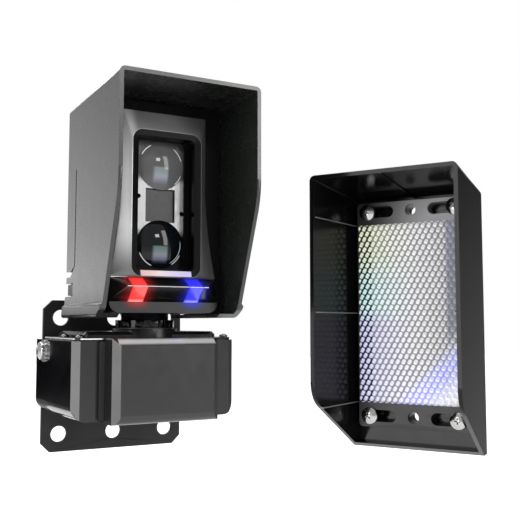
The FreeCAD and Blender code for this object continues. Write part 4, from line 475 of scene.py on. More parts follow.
@dataclass(frozen=True)
class WindowRim(Moulded):
    """Gloss black of the window's rim, with a painted reflection on its lower ledge that picks up both
    lights' colours.
    """

    ledge_z: float = 56.2 * MM
    ledge_x: float = 13.2 * MM
    ledge_reflection_light: float = 0.3
    ledge_reflection_tints: Stops = ((0.0, (0.52, 0.34, 0.34)), (0.3, (0.54, 0.47, 0.48)), (1.0, (0.38, 0.36, 0.56)))

    def dress(self, bench: Bench) -> None:
        """Feeds the black plastic, then the painted reflection on the ledge over it.

        Args:
            bench: The material's node tree.
        """
        super().dress(bench)
        black = bench.shader.inputs["Base Color"].links[0].from_socket
        across = bench.axis("X")
        high = bench.between(bench.axis("Z"), (self.ledge_z - 3.0 * MM, self.ledge_z - 2.7 * MM),
                             (self.ledge_z - 0.15 * MM, self.ledge_z + 0.15 * MM))
        wide = bench.remap(bench.away(across, 0.0), (self.ledge_x, self.ledge_x + 0.8 * MM), FALLING)
        # A painted reflection on the lower ledge, in both lights' colours
        ledge = bench.product(wide, high)
        tint = bench.ramp(bench.remap(across, (-self.ledge_x, self.ledge_x), RISING), self.ledge_reflection_tints)
        bench.shade(Base_Color=bench.mix(ledge, black, tint), Emission_Color=tint,
                    Emission_Strength=bench.product(ledge, self.ledge_reflection_light))


@dataclass(frozen=True)
class Arc:
    """A painted glint, a thin arc of light round a lens: its ends in degrees, its radius and half its width.
    """

    start: float
    end: float
    radius: float
    width: float


@dataclass(frozen=True)
class LensGlass(Finish):
    """Dark tinted lens plastic with a clear front; the tinted window of its diode behind it is painted as a
    glowing patch.
    """

    centre_z: float = 0.0
    specular: float = 0.2
    # Where the diode's window fades in and out, across the lens and up it, from the lens's middle
    window_across: tuple[Span, Span] = ((-5.6 * MM, -3.6 * MM), (2.2 * MM, 3.8 * MM))
    window_rise: tuple[Span, Span] = ((-10.5 * MM, -6.0 * MM), (-1.6 * MM, -0.6 * MM))
    window_painted_glow: float = 0.36
    window_tints: Stops = ((0.0, (0.36, 0.38, 0.62)), (0.45, (0.52, 0.56, 0.66)), (1.0, (0.30, 0.46, 0.40)))
    painted_arc_light: float = 0.55
    arcs: tuple[Arc, ...] = ()

    def dress(self, bench: Bench) -> None:
        """Feeds the tint, the swirl, the diode's window behind the glass as a painted glow, and the painted
        glints round it.

        Args:
            bench: The material's node tree.
        """
        swirl = bench.noise(14 * MM, 2.0)
        across, rise = bench.axis("X"), bench.math("SUBTRACT", bench.axis("Z"), self.centre_z)
        window = bench.product(bench.between(across, *self.window_across),
                               bench.between(rise, *self.window_rise))
        # Painted glow of the diode's window
        light = bench.product(window, self.window_painted_glow)
        tint = bench.ramp(bench.remap(rise, (-9 * MM, -1 * MM), RISING), self.window_tints)
        for arc in self.arcs:
            painted_glint = self.painted_glint(bench, across, rise, arc)
            tint = bench.mix(painted_glint, tint, WHITE)
            light = bench.math("MAXIMUM", light, bench.product(painted_glint, self.painted_arc_light))
        colour = bench.ramp(swirl, tuple(zip(NOISE_RANGE, map(self.toned, (0.85, 1.15)))))
        bench.shade(Base_Color=colour, Roughness=bench.worn(3 * MM, self.rougher(0.03), 5.0),
                    Normal=bench.bump(swirl, 0.01 * MM), Specular_IOR_Level=self.specular,
                    Emission_Color=tint, Emission_Strength=light)

    @staticmethod
    def painted_glint(bench: Bench, across: Socket, rise: Socket, arc: Arc) -> Socket:
        """Draws a painted glint: the thin arc of light that the ground rim shows.

        Args:
            bench: The material's node tree.
            across: The distance from the lens's middle along X.
            rise: The distance from its middle along Z.
            arc: The arc.

        Returns:
            1 on the arc and 0 off it.
        """
        middle, half = math.radians((arc.start + arc.end) / 2), math.radians((arc.end - arc.start) / 2)
        reach = bench.diagonal(across, rise)
        thin = bench.remap(bench.away(reach, arc.radius), (0.5 * arc.width, arc.width), FALLING)
        parts = bench.product(across, math.cos(middle)), bench.product(rise, math.sin(middle))
        turn = bench.math("DIVIDE", bench.math("ADD", *parts), reach)
        return bench.product(thin, bench.remap(turn, (math.cos(half), math.cos(0.7 * half)), RISING))


@dataclass(frozen=True)
class Glow(Finish):
    """Coloured light pipe: clear plastic lit from behind, brighter in its middle and finely ribbed below."""

    lit: Colour = (1.0, 0.06, 0.055)
    ridge_highlight_tint: Colour = (1.0, 0.8, 0.9)
    strength: float = 1.0
    centre: float = 0.0
    half_width: float = 4 * MM
    foot_z: float = 40.5 * MM
    rib_size: float = 7 * MM
    rib_depth: float = 0.02 * MM

    def dress(self, bench: Bench) -> None:
        """Feeds the tint, the glow, a painted highlight along the ridge and the fine ribs.

        Args:
            bench: The material's node tree.
        """
        rise = bench.axis("Z")
        pale = tuple(0.55 + 0.45 * channel for channel in self.colour)
        foot = bench.remap(rise, (self.foot_z, self.foot_z + 1.6 * MM), (0.75, 0.0))
        # A painted highlight along the ridge, over the pipe's own light
        lit = bench.mix(bench.within((RIDGE_HIGHLIGHT,)), bench.mix(foot, self.lit, pale), self.ridge_highlight_tint)
        span = 0.6 * self.half_width, 1.1 * self.half_width
        middle = bench.remap(bench.away(bench.axis("X"), self.centre), span, (1.0, 0.45))
        fading = bench.remap(rise, (self.foot_z, self.foot_z + 12 * MM), (1.0, 0.7))
        ribs = bench.add("TexWave", {"Vector": bench.place(), "Scale": 1.0 / self.rib_size},
                         bands_direction="Z", wave_type="BANDS")
        bench.shade(Base_Color=bench.clouded(6 * MM, self.toned(0.7), self.colour), Roughness=self.roughness,
                    Normal=bench.bump(ribs.outputs["Fac"], self.rib_depth), Coat_Weight=0.6,
                    Emission_Color=lit, Emission_Strength=bench.product(middle, fading, self.strength))


@dataclass(frozen=True)
class SmokedBar(Finish):
    """Smoked gloss plastic of the light bar, with a painted highlight along its ridge and a painted glow
    beside each light pipe, standing for the light that bleeds through it.
    """

    ridge_highlight_tint: Colour = (0.8, 0.8, 0.8)
    ridge_end: float = 21.6 * MM
    pipe_centre: float = 15 * MM
    pipe_reach: float = 3 * MM
    bleed: float = 12 * MM
    red: Colour = (0.9, 0.03, 0.03)
    blue: Colour = (0.03, 0.04, 0.9)
    strength: float = 0.22

    def dress(self, bench: Bench) -> None:
        """Feeds the smoke tint, the gloss, the painted ridge highlight and the painted glow of the bleeding
        light.

        Args:
            bench: The material's node tree.
        """
        across = bench.axis("X")
        # A painted highlight along the ridge
        ridge = bench.within((RIDGE_HIGHLIGHT, (X_AXIS, -self.ridge_end, self.ridge_end, 0.4 * MM)))
        smoke = bench.clouded(30 * MM, self.toned(0.8), self.toned(1.2))
        # Painted glow beside each light pipe, for the light that bleeds through the smoke
        light = bench.math("ADD", *(self.near(bench, across, side) for side in Side))
        tint = bench.mix(bench.remap(across, (-1 * MM, 1 * MM), RISING), self.red, self.blue)
        bench.shade(Base_Color=bench.mix(ridge, smoke, self.ridge_highlight_tint),
                    Normal=bench.grain(2 * MM, 0.004 * MM),
                    Roughness=bench.worn(5 * MM, self.rougher(0.06), 5.0),
                    Emission_Color=tint, Emission_Strength=bench.product(light, self.strength))

    def near(self, bench: Bench, across: Socket, side: Side) -> Socket:
        """Gives 1 at the light pipe of one side, falling to 0 where its light ends.

        Args:
            bench: The material's node tree.
            across: The surface's X.
            side: The side.

        Returns:
            The share.
        """
        away = bench.away(across, side.value * self.pipe_centre)
        near = bench.remap(away, (self.pipe_reach, self.bleed), FALLING)
        return bench.product(near, near)


@dataclass(frozen=True)
class PrismFilm(Finish):
    """Clear prisms over a white back: a painted highlight in each cell, a grey web, painted rainbow colours
    and a painted reflection, all under a painted glow.
    """

    centre: Point = (0.0, 0.0, 0.0)
    turn: float = 0.0
    half_width: float = 32 * MM
    half_height: float = 52 * MM
    pitch: float = 3.6 * MM
    strip: float = 7 * MM
    # The long and the short way across a spot
    oval: tuple[Point, Point] = ((0.40, 0.0, 0.72), (0.92, 0.0, -0.46))
    # The quiet strip along the right side, and how far along the streak it ends
    quiet_width: float = 11.5 * MM
    quiet_end: Span = (30 * MM, 46 * MM)
    # The painted reflection's direction, down to the right, and where it turns violet and then white
    reflection_streak: Point = (1.0, 0.0, -1.03)
    violet_zone: Span = (38 * MM, 52 * MM)
    white_zone: Span = (54 * MM, 72 * MM)
    # A painted glow over the whole film
    glow: float = 0.2
    web: Colour = (0.29, 0.28, 0.30)
    quiet_web: Colour = (0.28, 0.28, 0.35)
    quiet_spot: Colour = (0.34, 0.35, 0.42)
    violet: Colour = (0.42, 0.45, 1.0)
    # The colours of the left strip and of the prisms beside it, from the panel's foot to its top
    strip_tints: Stops = ((0.0, (0.012, 0.010, 0.05)), (0.4, (0.006, 0.008, 0.05)),
                          (0.62, (0.005, 0.035, 0.035)), (0.85, (0.010, 0.012, 0.006)))
    # Painted rainbow colours that the prisms throw, from the panel's foot to its top
    hues: Stops = ((0.05, (0.74, 0.74, 1.0)), (0.4, (0.74, 0.74, 1.0)), (0.55, (0.72, 1.0, 0.98)),
                   (0.75, (0.72, 1.0, 0.98)), (0.95, (0.95, 1.0, 0.72)))

    def dress(self, bench: Bench) -> None:
        """Feeds the painted highlight in each cell, the web between them, the painted colours and reflection
        that the prisms throw, and a painted glow.

        Args:
            bench: The material's node tree.
        """
        local = self.own_frame(bench)
        across, reflection_streak = bench.axis("X", local), bench.along(local, self.reflection_streak)
        rise = bench.remap(bench.axis("Z", local), (-self.half_height, self.half_height), RISING)
        hue = bench.ramp(rise, self.hues)
        tinted = bench.remap(across, (-self.half_width, self.half_width * 0.3), (0.75, 0.0))
        web = bench.mix(tinted, self.web, bench.mix(tinted, self.web, hue, blend="MULTIPLY"))
        edge = self.strip - self.half_width
        inside = bench.remap(across, (edge, edge + 1 * MM), RISING)
        web = bench.mix(inside, bench.ramp(rise, self.strip_tints), web)
        edge = self.half_width - self.quiet_width
        quiet = bench.product(bench.remap(across, (edge - 1 * MM, edge + 1 * MM), (0.0, 0.85)),
                              bench.remap(reflection_streak, self.quiet_end, FALLING))
        violet = bench.remap(reflection_streak, self.violet_zone, (0.0, 0.85))
        white = bench.remap(reflection_streak, self.white_zone, (0.0, 0.8))
        for share, cover in ((quiet, self.quiet_web), (violet, self.violet), (white, self.colour)):
            web = bench.mix(share, web, cover)
        spot = bench.mix(quiet, bench.mix(tinted, self.colour, hue), self.quiet_spot)
        colour = bench.mix(self.painted_highlight_spots(bench, local), web, spot)
        bench.shade(Base_Color=colour, Roughness=bench.worn(4 * MM, self.rougher(0.1), 4.0),
                    Normal=bench.grain(1.2 * MM, 0.01 * MM, 2.0), Coat_Weight=0.5, Coat_Roughness=0.05,
                    Emission_Color=colour, Emission_Strength=self.glow)

    def painted_highlight_spots(self, bench: Bench, local: Socket) -> Socket:
        """Draws the painted highlight: one leaning oval in each cell of the staggered rows.

        Args:
            bench: The material's node tree.
            local: The coordinates in the panel's own frame.

        Returns:
            1 within an oval and 0 in the web.
        """
        row = self.pitch * math.sqrt(3) / 2
        distances = []
        for shift in ((0.0, 0.0, 0.0), (self.pitch / 2, 0.0, row)):
            within = bench.wrapped(local, shift, (self.pitch, 1.0, 2 * row))
            distances.append(bench.diagonal(*(bench.along(within, way) for way in self.oval)))
        nearest = bench.math("MINIMUM", *distances)
        return bench.remap(nearest, (self.pitch * 0.26, self.pitch * 0.43), FALLING)

    def own_frame(self, bench: Bench) -> Socket:
        """Returns the coordinates in the panel's own frame, with its middle at the origin."""
        inputs = {"Vector": bench.place(), "Location": self.centre, "Rotation": (0.0, 0.0, self.turn)}
        return bench.add("Mapping", inputs, vector_type="TEXTURE").outputs["Vector"]


@dataclass(frozen=True)
class CircuitBoard(Finish):
    """Solder mask over copper: a green board with faint tracks and pads."""

    def dress(self, bench: Bench) -> None:
        """Feeds the mask, the tracks and their low relief.

        Args:
            bench: The material's node tree.
        """
        upright = bench.stretched(turn=(math.pi / 2, 0.0, 0.0))
        tracks = bench.add("TexBrick", {
            "Vector": upright, "Scale": 1.0 / (14 * MM), "Mortar Size": 0.03,
            "Color1": self.toned(0.8), "Color2": self.colour, "Mortar": self.toned(2.2)})
        bench.shade(Base_Color=tracks.outputs["Color"], Roughness=bench.worn(3 * MM, self.rougher(0.1)),
                    Normal=bench.bump(tracks.outputs["Fac"], 0.03 * MM))


class Shop:
    """Modelling helpers: each works on one piece in edit mode and leaves nothing selected."""

    @staticmethod
    def clear() -> None:
        """Leaves edit mode and deselects everything."""
        if bpy.context.object and bpy.context.object.mode != "OBJECT":
            bpy.ops.object.mode_set(mode="OBJECT")
        bpy.ops.object.select_all(action="DESELECT")

    @staticmethod
    def pick(piece: Piece) -> None:
        """Makes one piece the only selected and the active one.

        Args:
            piece: The piece.
        """
        Shop.clear()
        piece.select_set(True)
        bpy.context.view_layer.objects.active = piece

    @staticmethod
    def select(piece: Piece, test: Callable[[bpy.types.MeshPolygon], bool]) -> None:
        """Selects a piece's faces by a test and opens edit mode.

        Args:
            piece: The piece.
            test: Tells of each face whether it is taken.
        """
        Shop.pick(piece)
        bpy.ops.object.mode_set(mode="EDIT")
        bpy.ops.mesh.select_mode(type="FACE")
        bpy.ops.mesh.select_all(action="DESELECT")
        bpy.ops.object.mode_set(mode="OBJECT")
        for face in piece.data.polygons:
            face.select = test(face)
        bpy.ops.object.mode_set(mode="EDIT")

    @staticmethod
    def settle(name: str) -> Piece:
        """Names the piece that was just added, and puts its place, turn and scale into its mesh.

        Args:
            name: The piece's name.

        Returns:
            The piece.
        """
        piece = bpy.context.object
        piece.name = name
        Shop.pick(piece)
        bpy.ops.object.transform_apply(location=True, rotation=True, scale=True)
        return piece

    @staticmethod
    def cylinder(name: str, radius: float, depth: float, sides: int) -> Piece:
        """Adds an upright cylinder whose base is at the origin.

        Args:
            name: The piece's name.
            radius: Its radius.
            depth: Its height.
            sides: How many sides it has.

        Returns:
            The piece.
        """
        Shop.clear()
        middle = (0, 0, depth / 2)
        bpy.ops.mesh.primitive_cylinder_add(vertices=sides, radius=radius, depth=depth, location=middle)
        return Shop.settle(name)

    @staticmethod
    def crown(piece: Piece, top: float, radius: float, rise: float, rings: int) -> None:
        """Domes the flat top of an upright round piece by insets that follow an arc.

        Args:
            piece: The piece.
            top: The height of its flat top.
            radius: The radius of its top.
            rise: How high the dome stands above the rim.
            rings: How many rings the dome has.
        """
        sphere = (radius ** 2 + rise ** 2) / (2 * rise)
        full = math.asin(min(1.0, radius / sphere))
        Shop.select(piece, lambda face: face.center.z > top - NEAR and face.normal.z > SQUARE)
        at_radius, at_height = radius, 0.0
        for ring in range(1, rings + 1):
            angle = full * (1 - ring / (rings + 0.35))
            new_radius = sphere * math.sin(angle)
            new_height = sphere * math.cos(angle) - (sphere - rise)
            bpy.ops.mesh.inset(thickness=at_radius - new_radius, depth=0)
            bpy.ops.transform.translate(value=(0, 0, new_height - at_height))
            at_radius, at_height = new_radius, new_height
        bpy.ops.object.mode_set(mode="OBJECT")

    @staticmethod
    def modify(piece: Piece, kind: str, **settings: object) -> None:
        """Adds a modifier to a piece and applies it.

        Args:
            piece: The piece.
            kind: The modifier's type.
            settings: Its properties and their values.
        """
        modifier = piece.modifiers.new(kind.title(), kind)
        tune(modifier, **settings)
        Shop.pick(piece)
        bpy.ops.object.modifier_apply(modifier=modifier.name)

    @staticmethod
    def combine(piece: Piece, operation: str, other: Piece) -> None:
        """Adds another piece to a piece or cuts it away, and removes the other one."""
        Shop.modify(piece, "BOOLEAN", operation=operation, solver="EXACT", object=other)
        bpy.data.objects.remove(other)

    @staticmethod
    def smooth(piece: Piece, angle: float = 35.0) -> None:
        """Shades a piece smooth, apart from its sharp edges.

        Args:
            piece: The piece.
            angle: The sharpest edge that is shaded smooth, in degrees.
        """
        Shop.pick(piece)
        bpy.ops.object.shade_smooth_by_angle(angle=math.radians(angle))
        Shop.clear()

    @staticmethod
    def join_copies(piece: Piece, name: str, frames: Sequence[Matrix]) -> Piece:
        """Puts a copy of a piece at each of several frames, joins the copies and removes the piece.

        Args:
            piece: The piece to copy.
            name: The joined copies' name.
            frames: Where the copies go.

        Returns:
            The joined copies.
        """
        copies = []
        for frame in frames:
            mesh = piece.data.copy()
            mesh.transform(frame)
            copies.append(bpy.data.objects.new(name, mesh))
            bpy.context.scene.collection.objects.link(copies[-1])
        bpy.data.objects.remove(piece)
        Shop.pick(copies[0])
        for copy in copies:
            copy.select_set(True)
        bpy.ops.object.join()
        Shop.clear()
        return copies[0]


def facing(direction: Point, base: Point) -> Matrix:
    """Gives the frame that carries an upright piece's +Z to a direction and its foot to a base."""
    turn = Vector(direction).to_track_quat("Z", "Y").to_matrix().to_4x4()
    return Matrix.Translation(Vector(base)) @ turn


def turned(angle: float) -> Matrix:
    """Gives the frame that turns an upright piece about +Z by an angle in radians."""
    return Matrix.Rotation(angle, 4, "Z")


@dataclass(frozen=True)
class PanHeadScrew:
    """A cross-recessed pan head with its neck, modelled upright with its seat at the origin."""

    head: float
    height: float
    shank: float
    length: float
    sides: int = 48
    rings: int = 7
    rim_share: float = 0.45
    # The cross's span and the thickness of its blades, and the rounding, as shares of the head's width
    span: float = 0.56
    blade: float = 0.115
    rounding: float = 0.012
    # The blades' height as a share of the head's, and the share of their size that their foot keeps
    reach: float = 1.2
    taper: float = 0.42

    def build(self) -> Piece:
        """Models the screw.

        Returns:
            The screw, standing upright.
        """
        rim = self.height * self.rim_share
        screw = Shop.cylinder("pan_head", self.head / 2, rim, self.sides)
        Shop.crown(screw, rim, self.head / 2, self.height - rim, self.rings)
        Shop.select(screw, lambda face: face.center.z < NEAR and face.normal.z < -SQUARE)
        bpy.ops.mesh.inset(thickness=self.head / 2 - self.shank / 2, depth=0)
        bpy.ops.mesh.extrude_region_move(TRANSFORM_OT_translate={"value": (0, 0, -self.length)})
        bpy.ops.object.mode_set(mode="OBJECT")
        Shop.combine(screw, "DIFFERENCE", self.cross())
        Shop.modify(screw, "BEVEL", width=self.head * self.rounding, segments=2, limit_method="ANGLE",
                    angle_limit=math.radians(40))
        return screw

    def cross(self) -> Piece:
        """Models the cross recess as a cutter: two tapering blades that cross.

        Returns:
            The cutter.
        """
        blades = []
        for turn in (0.0, math.pi / 2):
            Shop.clear()
            bpy.ops.mesh.primitive_cube_add(size=1.0, location=(0, 0, self.height), rotation=(0, 0, turn))
            bpy.context.object.scale = (self.head * self.span, self.head * self.blade,
                                        self.height * self.reach)
            blades.append(Shop.settle("blade"))
            Shop.select(blades[-1], lambda face: face.normal.z < -SQUARE)
            bpy.ops.transform.resize(value=(self.taper, self.taper, 1.0))
            bpy.ops.object.mode_set(mode="OBJECT")
        Shop.combine(blades[0], "UNION", blades[1])
        return blades[0]


@dataclass
class Fitter:
    """Lays finishes on pieces and hands new pieces over to the model's bodies."""

    materials: dict[str, bpy.types.Material] = field(default_factory=dict)
    weld: float = 0.002 * MM
    facets: int = 2
    sharp: float = math.radians(38)

    def paint(self, piece: Piece, finish: Finish) -> None:
        """Gives a piece one finish all over; its material is made the first time.

        Args:
            piece: The piece.
            finish: Its finish.
        """
        if finish.name not in self.materials:
            self.materials[finish.name] = finish.material()
        piece.data.materials.clear()
        piece.data.materials.append(self.materials[finish.name])

    def dress_node(self, name: str, finish: Finish, rounding: float) -> None:
        """Gives a carried-over node its finish, and softens its sharp edges.

        Args:
            name: The node's name.
            finish: Its finish.
            rounding: The radius that its sharp edges get, or 0 for none.
        """
        node = NODES[name]
        self.paint(node, finish)
        if rounding > 0:
            tune(node.modifiers.new("Weld", "WELD"), merge_threshold=self.weld)
            tune(node.modifiers.new("Rounding", "BEVEL"), width=rounding, segments=self.facets,
                 limit_method="ANGLE", angle_limit=self.sharp, harden_normals=True, use_clamp_overlap=True)
        LOG.info("dressed %s in %s", name, finish.name)

    def hand_over(self, piece: Piece, finish: Finish, body: Body, slot: str, *nodes: str) -> None:
        """Finishes a new piece and lets it ride on its body.

        Args:
            piece: The piece.
            finish: Its finish.
            body: The body that it rides on.
            slot: The record's material slot; it is not used.
            nodes: The nodes that it stands for.
        """
        self.paint(piece, finish)
        Shop.smooth(piece)
        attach(piece, body.value)
        if nodes:
            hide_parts(*nodes)
        LOG.info("built %s for %s", piece.name, ", ".join(nodes) or body.value)

    def set_screws(self, screw: PanHeadScrew, frames: Sequence[Matrix], finish: Finish, body: Body,
                   node: str) -> None:
        """Models one screw, sets a copy at each frame and hands all of them over as one piece."""
        screws = Shop.join_copies(screw.build(), "pan_head_" + node, frames)
        self.hand_over(screws, finish, body, "bright_screw", node)


POWDER_BLACK = PowderCoat("powder_black", (0.012, 0.012, 0.013), 0.42)
GLOSS_BLACK = Moulded("gloss_black", (0.004, 0.004, 0.005), 0.15, grain=2.5 * MM, grain_depth=0.002 * MM)
# Painted highlight lines along the lid's rim, on its left side and its front
LID_RIM: Limit = (Z_AXIS, 21.75 * MM, 22.3 * MM, 0.08 * MM)
LID_SIDE: Limits = ((X_AXIS, -50 * MM, -42.2 * MM, 0.1 * MM), (Y_AXIS, -BEYOND, -8 * MM, 1 * MM))
LID_FRONT: Limits = ((X_AXIS, -50 * MM, -29 * MM, 1 * MM), (Y_AXIS, -BEYOND, -73.1 * MM, 0.1 * MM))
LID_PAINTED_HIGHLIGHTS = tuple(Patch((0.9, 0.9, 0.9), (LID_RIM, *part)) for part in (LID_SIDE, LID_FRONT))
LID_BLACK = Moulded("lid_black", (0.005, 0.005, 0.006), 0.28, specular=0.18, grain_depth=0.006 * MM,
                    patches=LID_PAINTED_HIGHLIGHTS)
CASE_BLACK = Moulded("case_black", (0.010, 0.010, 0.010), 0.42, specular=0.4)
FACE_BLACK = Moulded("face_black", (0.003, 0.003, 0.003), 0.5, specular=0.08)
HOOD_SATIN = Moulded("hood_satin", (0.013, 0.015, 0.013), 0.27, grain=0.4 * MM, grain_depth=0.0008 * MM,
                     sheen_spread=0.01)
SHADE_SATIN = Moulded("shade_satin", (0.004, 0.004, 0.004), 0.14, specular=0.17, grain_depth=0.002 * MM,
                      sheen_spread=0.02)
# A painted highlight band along the front cover's top chamfer
COVER_TOP: Limits = ((X_AXIS, -25.5 * MM, 25.5 * MM, 0.3 * MM), (Y_AXIS, -BEYOND, -86.6 * MM, 0.2 * MM))
COVER_PAINTED_SHEEN = (Patch((0.42, 0.42, 0.42), (*COVER_TOP, (Z_AXIS, 19.8 * MM, 22.0 * MM, 0.6 * MM)), 0.88),
                Patch((0.42, 0.42, 0.42), (*COVER_TOP, (Z_AXIS, 19.15 * MM, 22.65 * MM, 0.01 * MM)), 0.12))
COVER_SATIN = Moulded("cover_satin", (0.008, 0.008, 0.008), 0.24, grain_depth=0.005 * MM, specular=0.46,
                      patches=COVER_PAINTED_SHEEN)
# Painted spill of the red and the blue light on the trim's top, beside each light pipe
TRIM_TOP: Limit = (Z_AXIS, 38.6 * MM, 50.0 * MM, 3.0 * MM)
TRIM_PAINTED_SPILL = (Patch((0.30, 0.010, 0.010), (TRIM_TOP, (X_AXIS, -19 * MM, -11 * MM, 4 * MM))),
               Patch((0.015, 0.015, 0.42), (TRIM_TOP, (X_AXIS, 11 * MM, 19 * MM, 4 * MM))))
TRIM_SATIN = Moulded("trim_satin", (0.014, 0.014, 0.015), 0.32, specular=0.3, grain_depth=0.006 * MM,
                     patches=TRIM_PAINTED_SPILL)
RUBBER = Moulded("black_rubber", (0.008, 0.008, 0.008), 0.55, grain=0.6 * MM, grain_depth=0.02 * MM)
WINDOW_BLACK = WindowRim("window_black", (0.002, 0.002, 0.002), 0.16, grain=3 * MM, grain_depth=0.002 * MM,
                         specular=0.12)
NYLON = Moulded("nylon", (0.55, 0.54, 0.49), 0.4)
BEZEL_LACQUER_PAINTED_LIGHT = BezelLacquerWithPaintedLight("bezel_lacquer_painted_light", (0.15, 0.15, 0.155), 0.38, metallic=0.2, stroke=EVEN,
                             stroke_size=0.25 * MM, stroke_depth=0.003 * MM)
CARRIER_SILVER = CarrierSilver("carrier_silver", (0.22, 0.22, 0.222), 0.38, stroke=(1.0, 1.0, 0.15),
                               stroke_size=0.5 * MM, stroke_depth=0.0002 * MM)
NICKEL = Metal("nickel", (0.34, 0.335, 0.33), 0.12, stroke=EVEN, stroke_depth=0.001 * MM)
# A darker copy of the nickel: painted shade for the lid's screws under the head
SHADED_NICKEL = Metal("shaded_nickel", (0.10, 0.10, 0.10), 0.16, stroke=EVEN, stroke_depth=0.001 * MM)
ZINC = Metal("zinc", (0.50, 0.50, 0.51), 0.34)
NECK_METAL = Metal("neck_metal", (0.018, 0.018, 0.019), 0.16, stroke=(1.0, 1.0, 20.0))
# The upper lens's grey colour is a painted reflection; the lower lens is near black
UPPER_GLASS = LensGlass(
    "upper_glass", (0.085, 0.085, 0.088), 0.035, centre_z=111.4 * MM,
    arcs=(Arc(116, 156, 11.7 * MM, 0.35 * MM), Arc(14, 56, 11.7 * MM, 0.35 * MM),
          Arc(-52, -20, 11.9 * MM, 0.25 * MM)))
LOWER_GLASS = LensGlass(
    "lower_glass", (0.002, 0.003, 0.004), 0.03, centre_z=70.4 * MM,
    arcs=(Arc(-66, 14, 10.9 * MM, 0.2 * MM), Arc(-60, -24, 12.0 * MM, 0.3 * MM),
          Arc(200, 250, 12.0 * MM, 0.3 * MM)))
RED_GLOW = Glow("red_glow", (0.7, 0.02, 0.015), 0.25, lit=(0.95, 0.055, 0.055), centre=-15 * MM)
BLUE_GLOW = Glow("blue_glow", (0.015, 0.02, 0.7), 0.25, lit=(0.04, 0.04, 0.95), centre=15 * MM)
SMOKED = SmokedBar("smoked_bar", (0.004, 0.004, 0.004), 0.12)
BOARD = CircuitBoard("board_green", (0.02, 0.14, 0.06), 0.3)
RELAY_BLUE = Moulded("relay_blue", (0.02, 0.06, 0.25), 0.35)
TERMINAL_GREEN = Moulded("terminal_green", (0.02, 0.25, 0.09), 0.4)
DIODE_CLEAR = Moulded("diode_clear", (0.6, 0.62, 0.65), 0.08, grain=4 * MM, grain_depth=0.001 * MM)

# Each row holds a finish, the radius of the edges and the nodes that have both
Looks = tuple[tuple[Finish | float | str, ...], ...]


@dataclass
class Assembly:
    """A sub-assembly: it dresses its nodes and models the pieces that stand for some of them."""

    fitter: Fitter
    looks: ClassVar[Looks] = ()

    def model(self) -> None:
        """Models the new pieces; an assembly without any has nothing to do here."""

    def build(self) -> None:
        """Dresses the nodes, then models the new pieces."""
        for finish, rounding, *names in self.looks:
            for name in names:
                self.fitter.dress_node(name, finish, rounding)
        self.model()


@dataclass
class WallBracket(Assembly):
    """The wall plate with its ears and the two screws that the cradle tilts on."""

    screw: PanHeadScrew = PanHeadScrew(9.6 * MM, 3.4 * MM, 5 * MM, 12 * MM)
    # How far each screw head is turned about its own axis, in radians
    screw_turn: float = 0.5
    looks: ClassVar[Looks] = (
        (POWDER_BLACK, 0.3 * MM, "wall_plate"),
        (ZINC, 0.0, "star_washers"),
        (ZINC, 0.25 * MM, "tilt_nuts"),
    )

    def model(self) -> None:
        """Sets a screw at each side, seated on its washer."""
        low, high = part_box("tilt_screws")
        washer_low, washer_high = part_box("star_washers")
        frames = []
        for side, x in ((Side.LEFT, washer_low.x), (Side.RIGHT, washer_high.x)):
            seat = (x, (low.y + high.y) / 2, (low.z + high.z) / 2)
            frames.append(facing((side.value, 0, 0), seat) @ turned(self.screw_turn))
        self.fitter.set_screws(self.screw, frames, NICKEL, Body.ROOT, "tilt_screws")


@dataclass
class WiringCradle(Assembly):
    """The cradle with its lid, cover, seals and terminals."""

    screw: PanHeadScrew = PanHeadScrew(4.5 * MM, 1.7 * MM, 2.5 * MM, 8 * MM, sides=32)
    # The screws' turn about their own axes, in radians, and how much it grows for each metre of Y
    screw_turn: float = 0.4
    turn_growth: float = 9.0
    looks: ClassVar[Looks] = (
        (GLOSS_BLACK, 0.3 * MM, "cradle"),
        (LID_BLACK, 0.25 * MM, "cradle_lid"),
        (CASE_BLACK, 0.2 * MM, "rear_panel"),
        (COVER_SATIN, 0.4 * MM, "front_cover"),
        (RUBBER, 0.0, "front_cover_gasket", "cable_grommet"),
        (NYLON, 0.0, "pivot_bushings"),
        (CASE_BLACK, 0.0, "friction_washer"),
        (BOARD, 0.0, "terminal_board"),
        (TERMINAL_GREEN, 0.0, "terminal_block"),
        (ZINC, 0.0, "spring_washer", "terminal_board_screws", "terminal_screws"),
    )

    def model(self) -> None:
        """Sets a screw in each corner of the lid, each turned its own way."""
        low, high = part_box("lid_screws")
        reach, seat = self.screw.head / 2, high.z - self.screw.height
        frames = [Matrix.Translation((x, y, seat)) @ turned(self.screw_turn + self.turn_growth * abs(y))
                  for x in (low.x + reach, high.x - reach) for y in (low.y + reach, high.y - reach)]
        self.fitter.set_screws(self.screw, frames, SHADED_NICKEL, Body.CRADLE, "lid_screws")


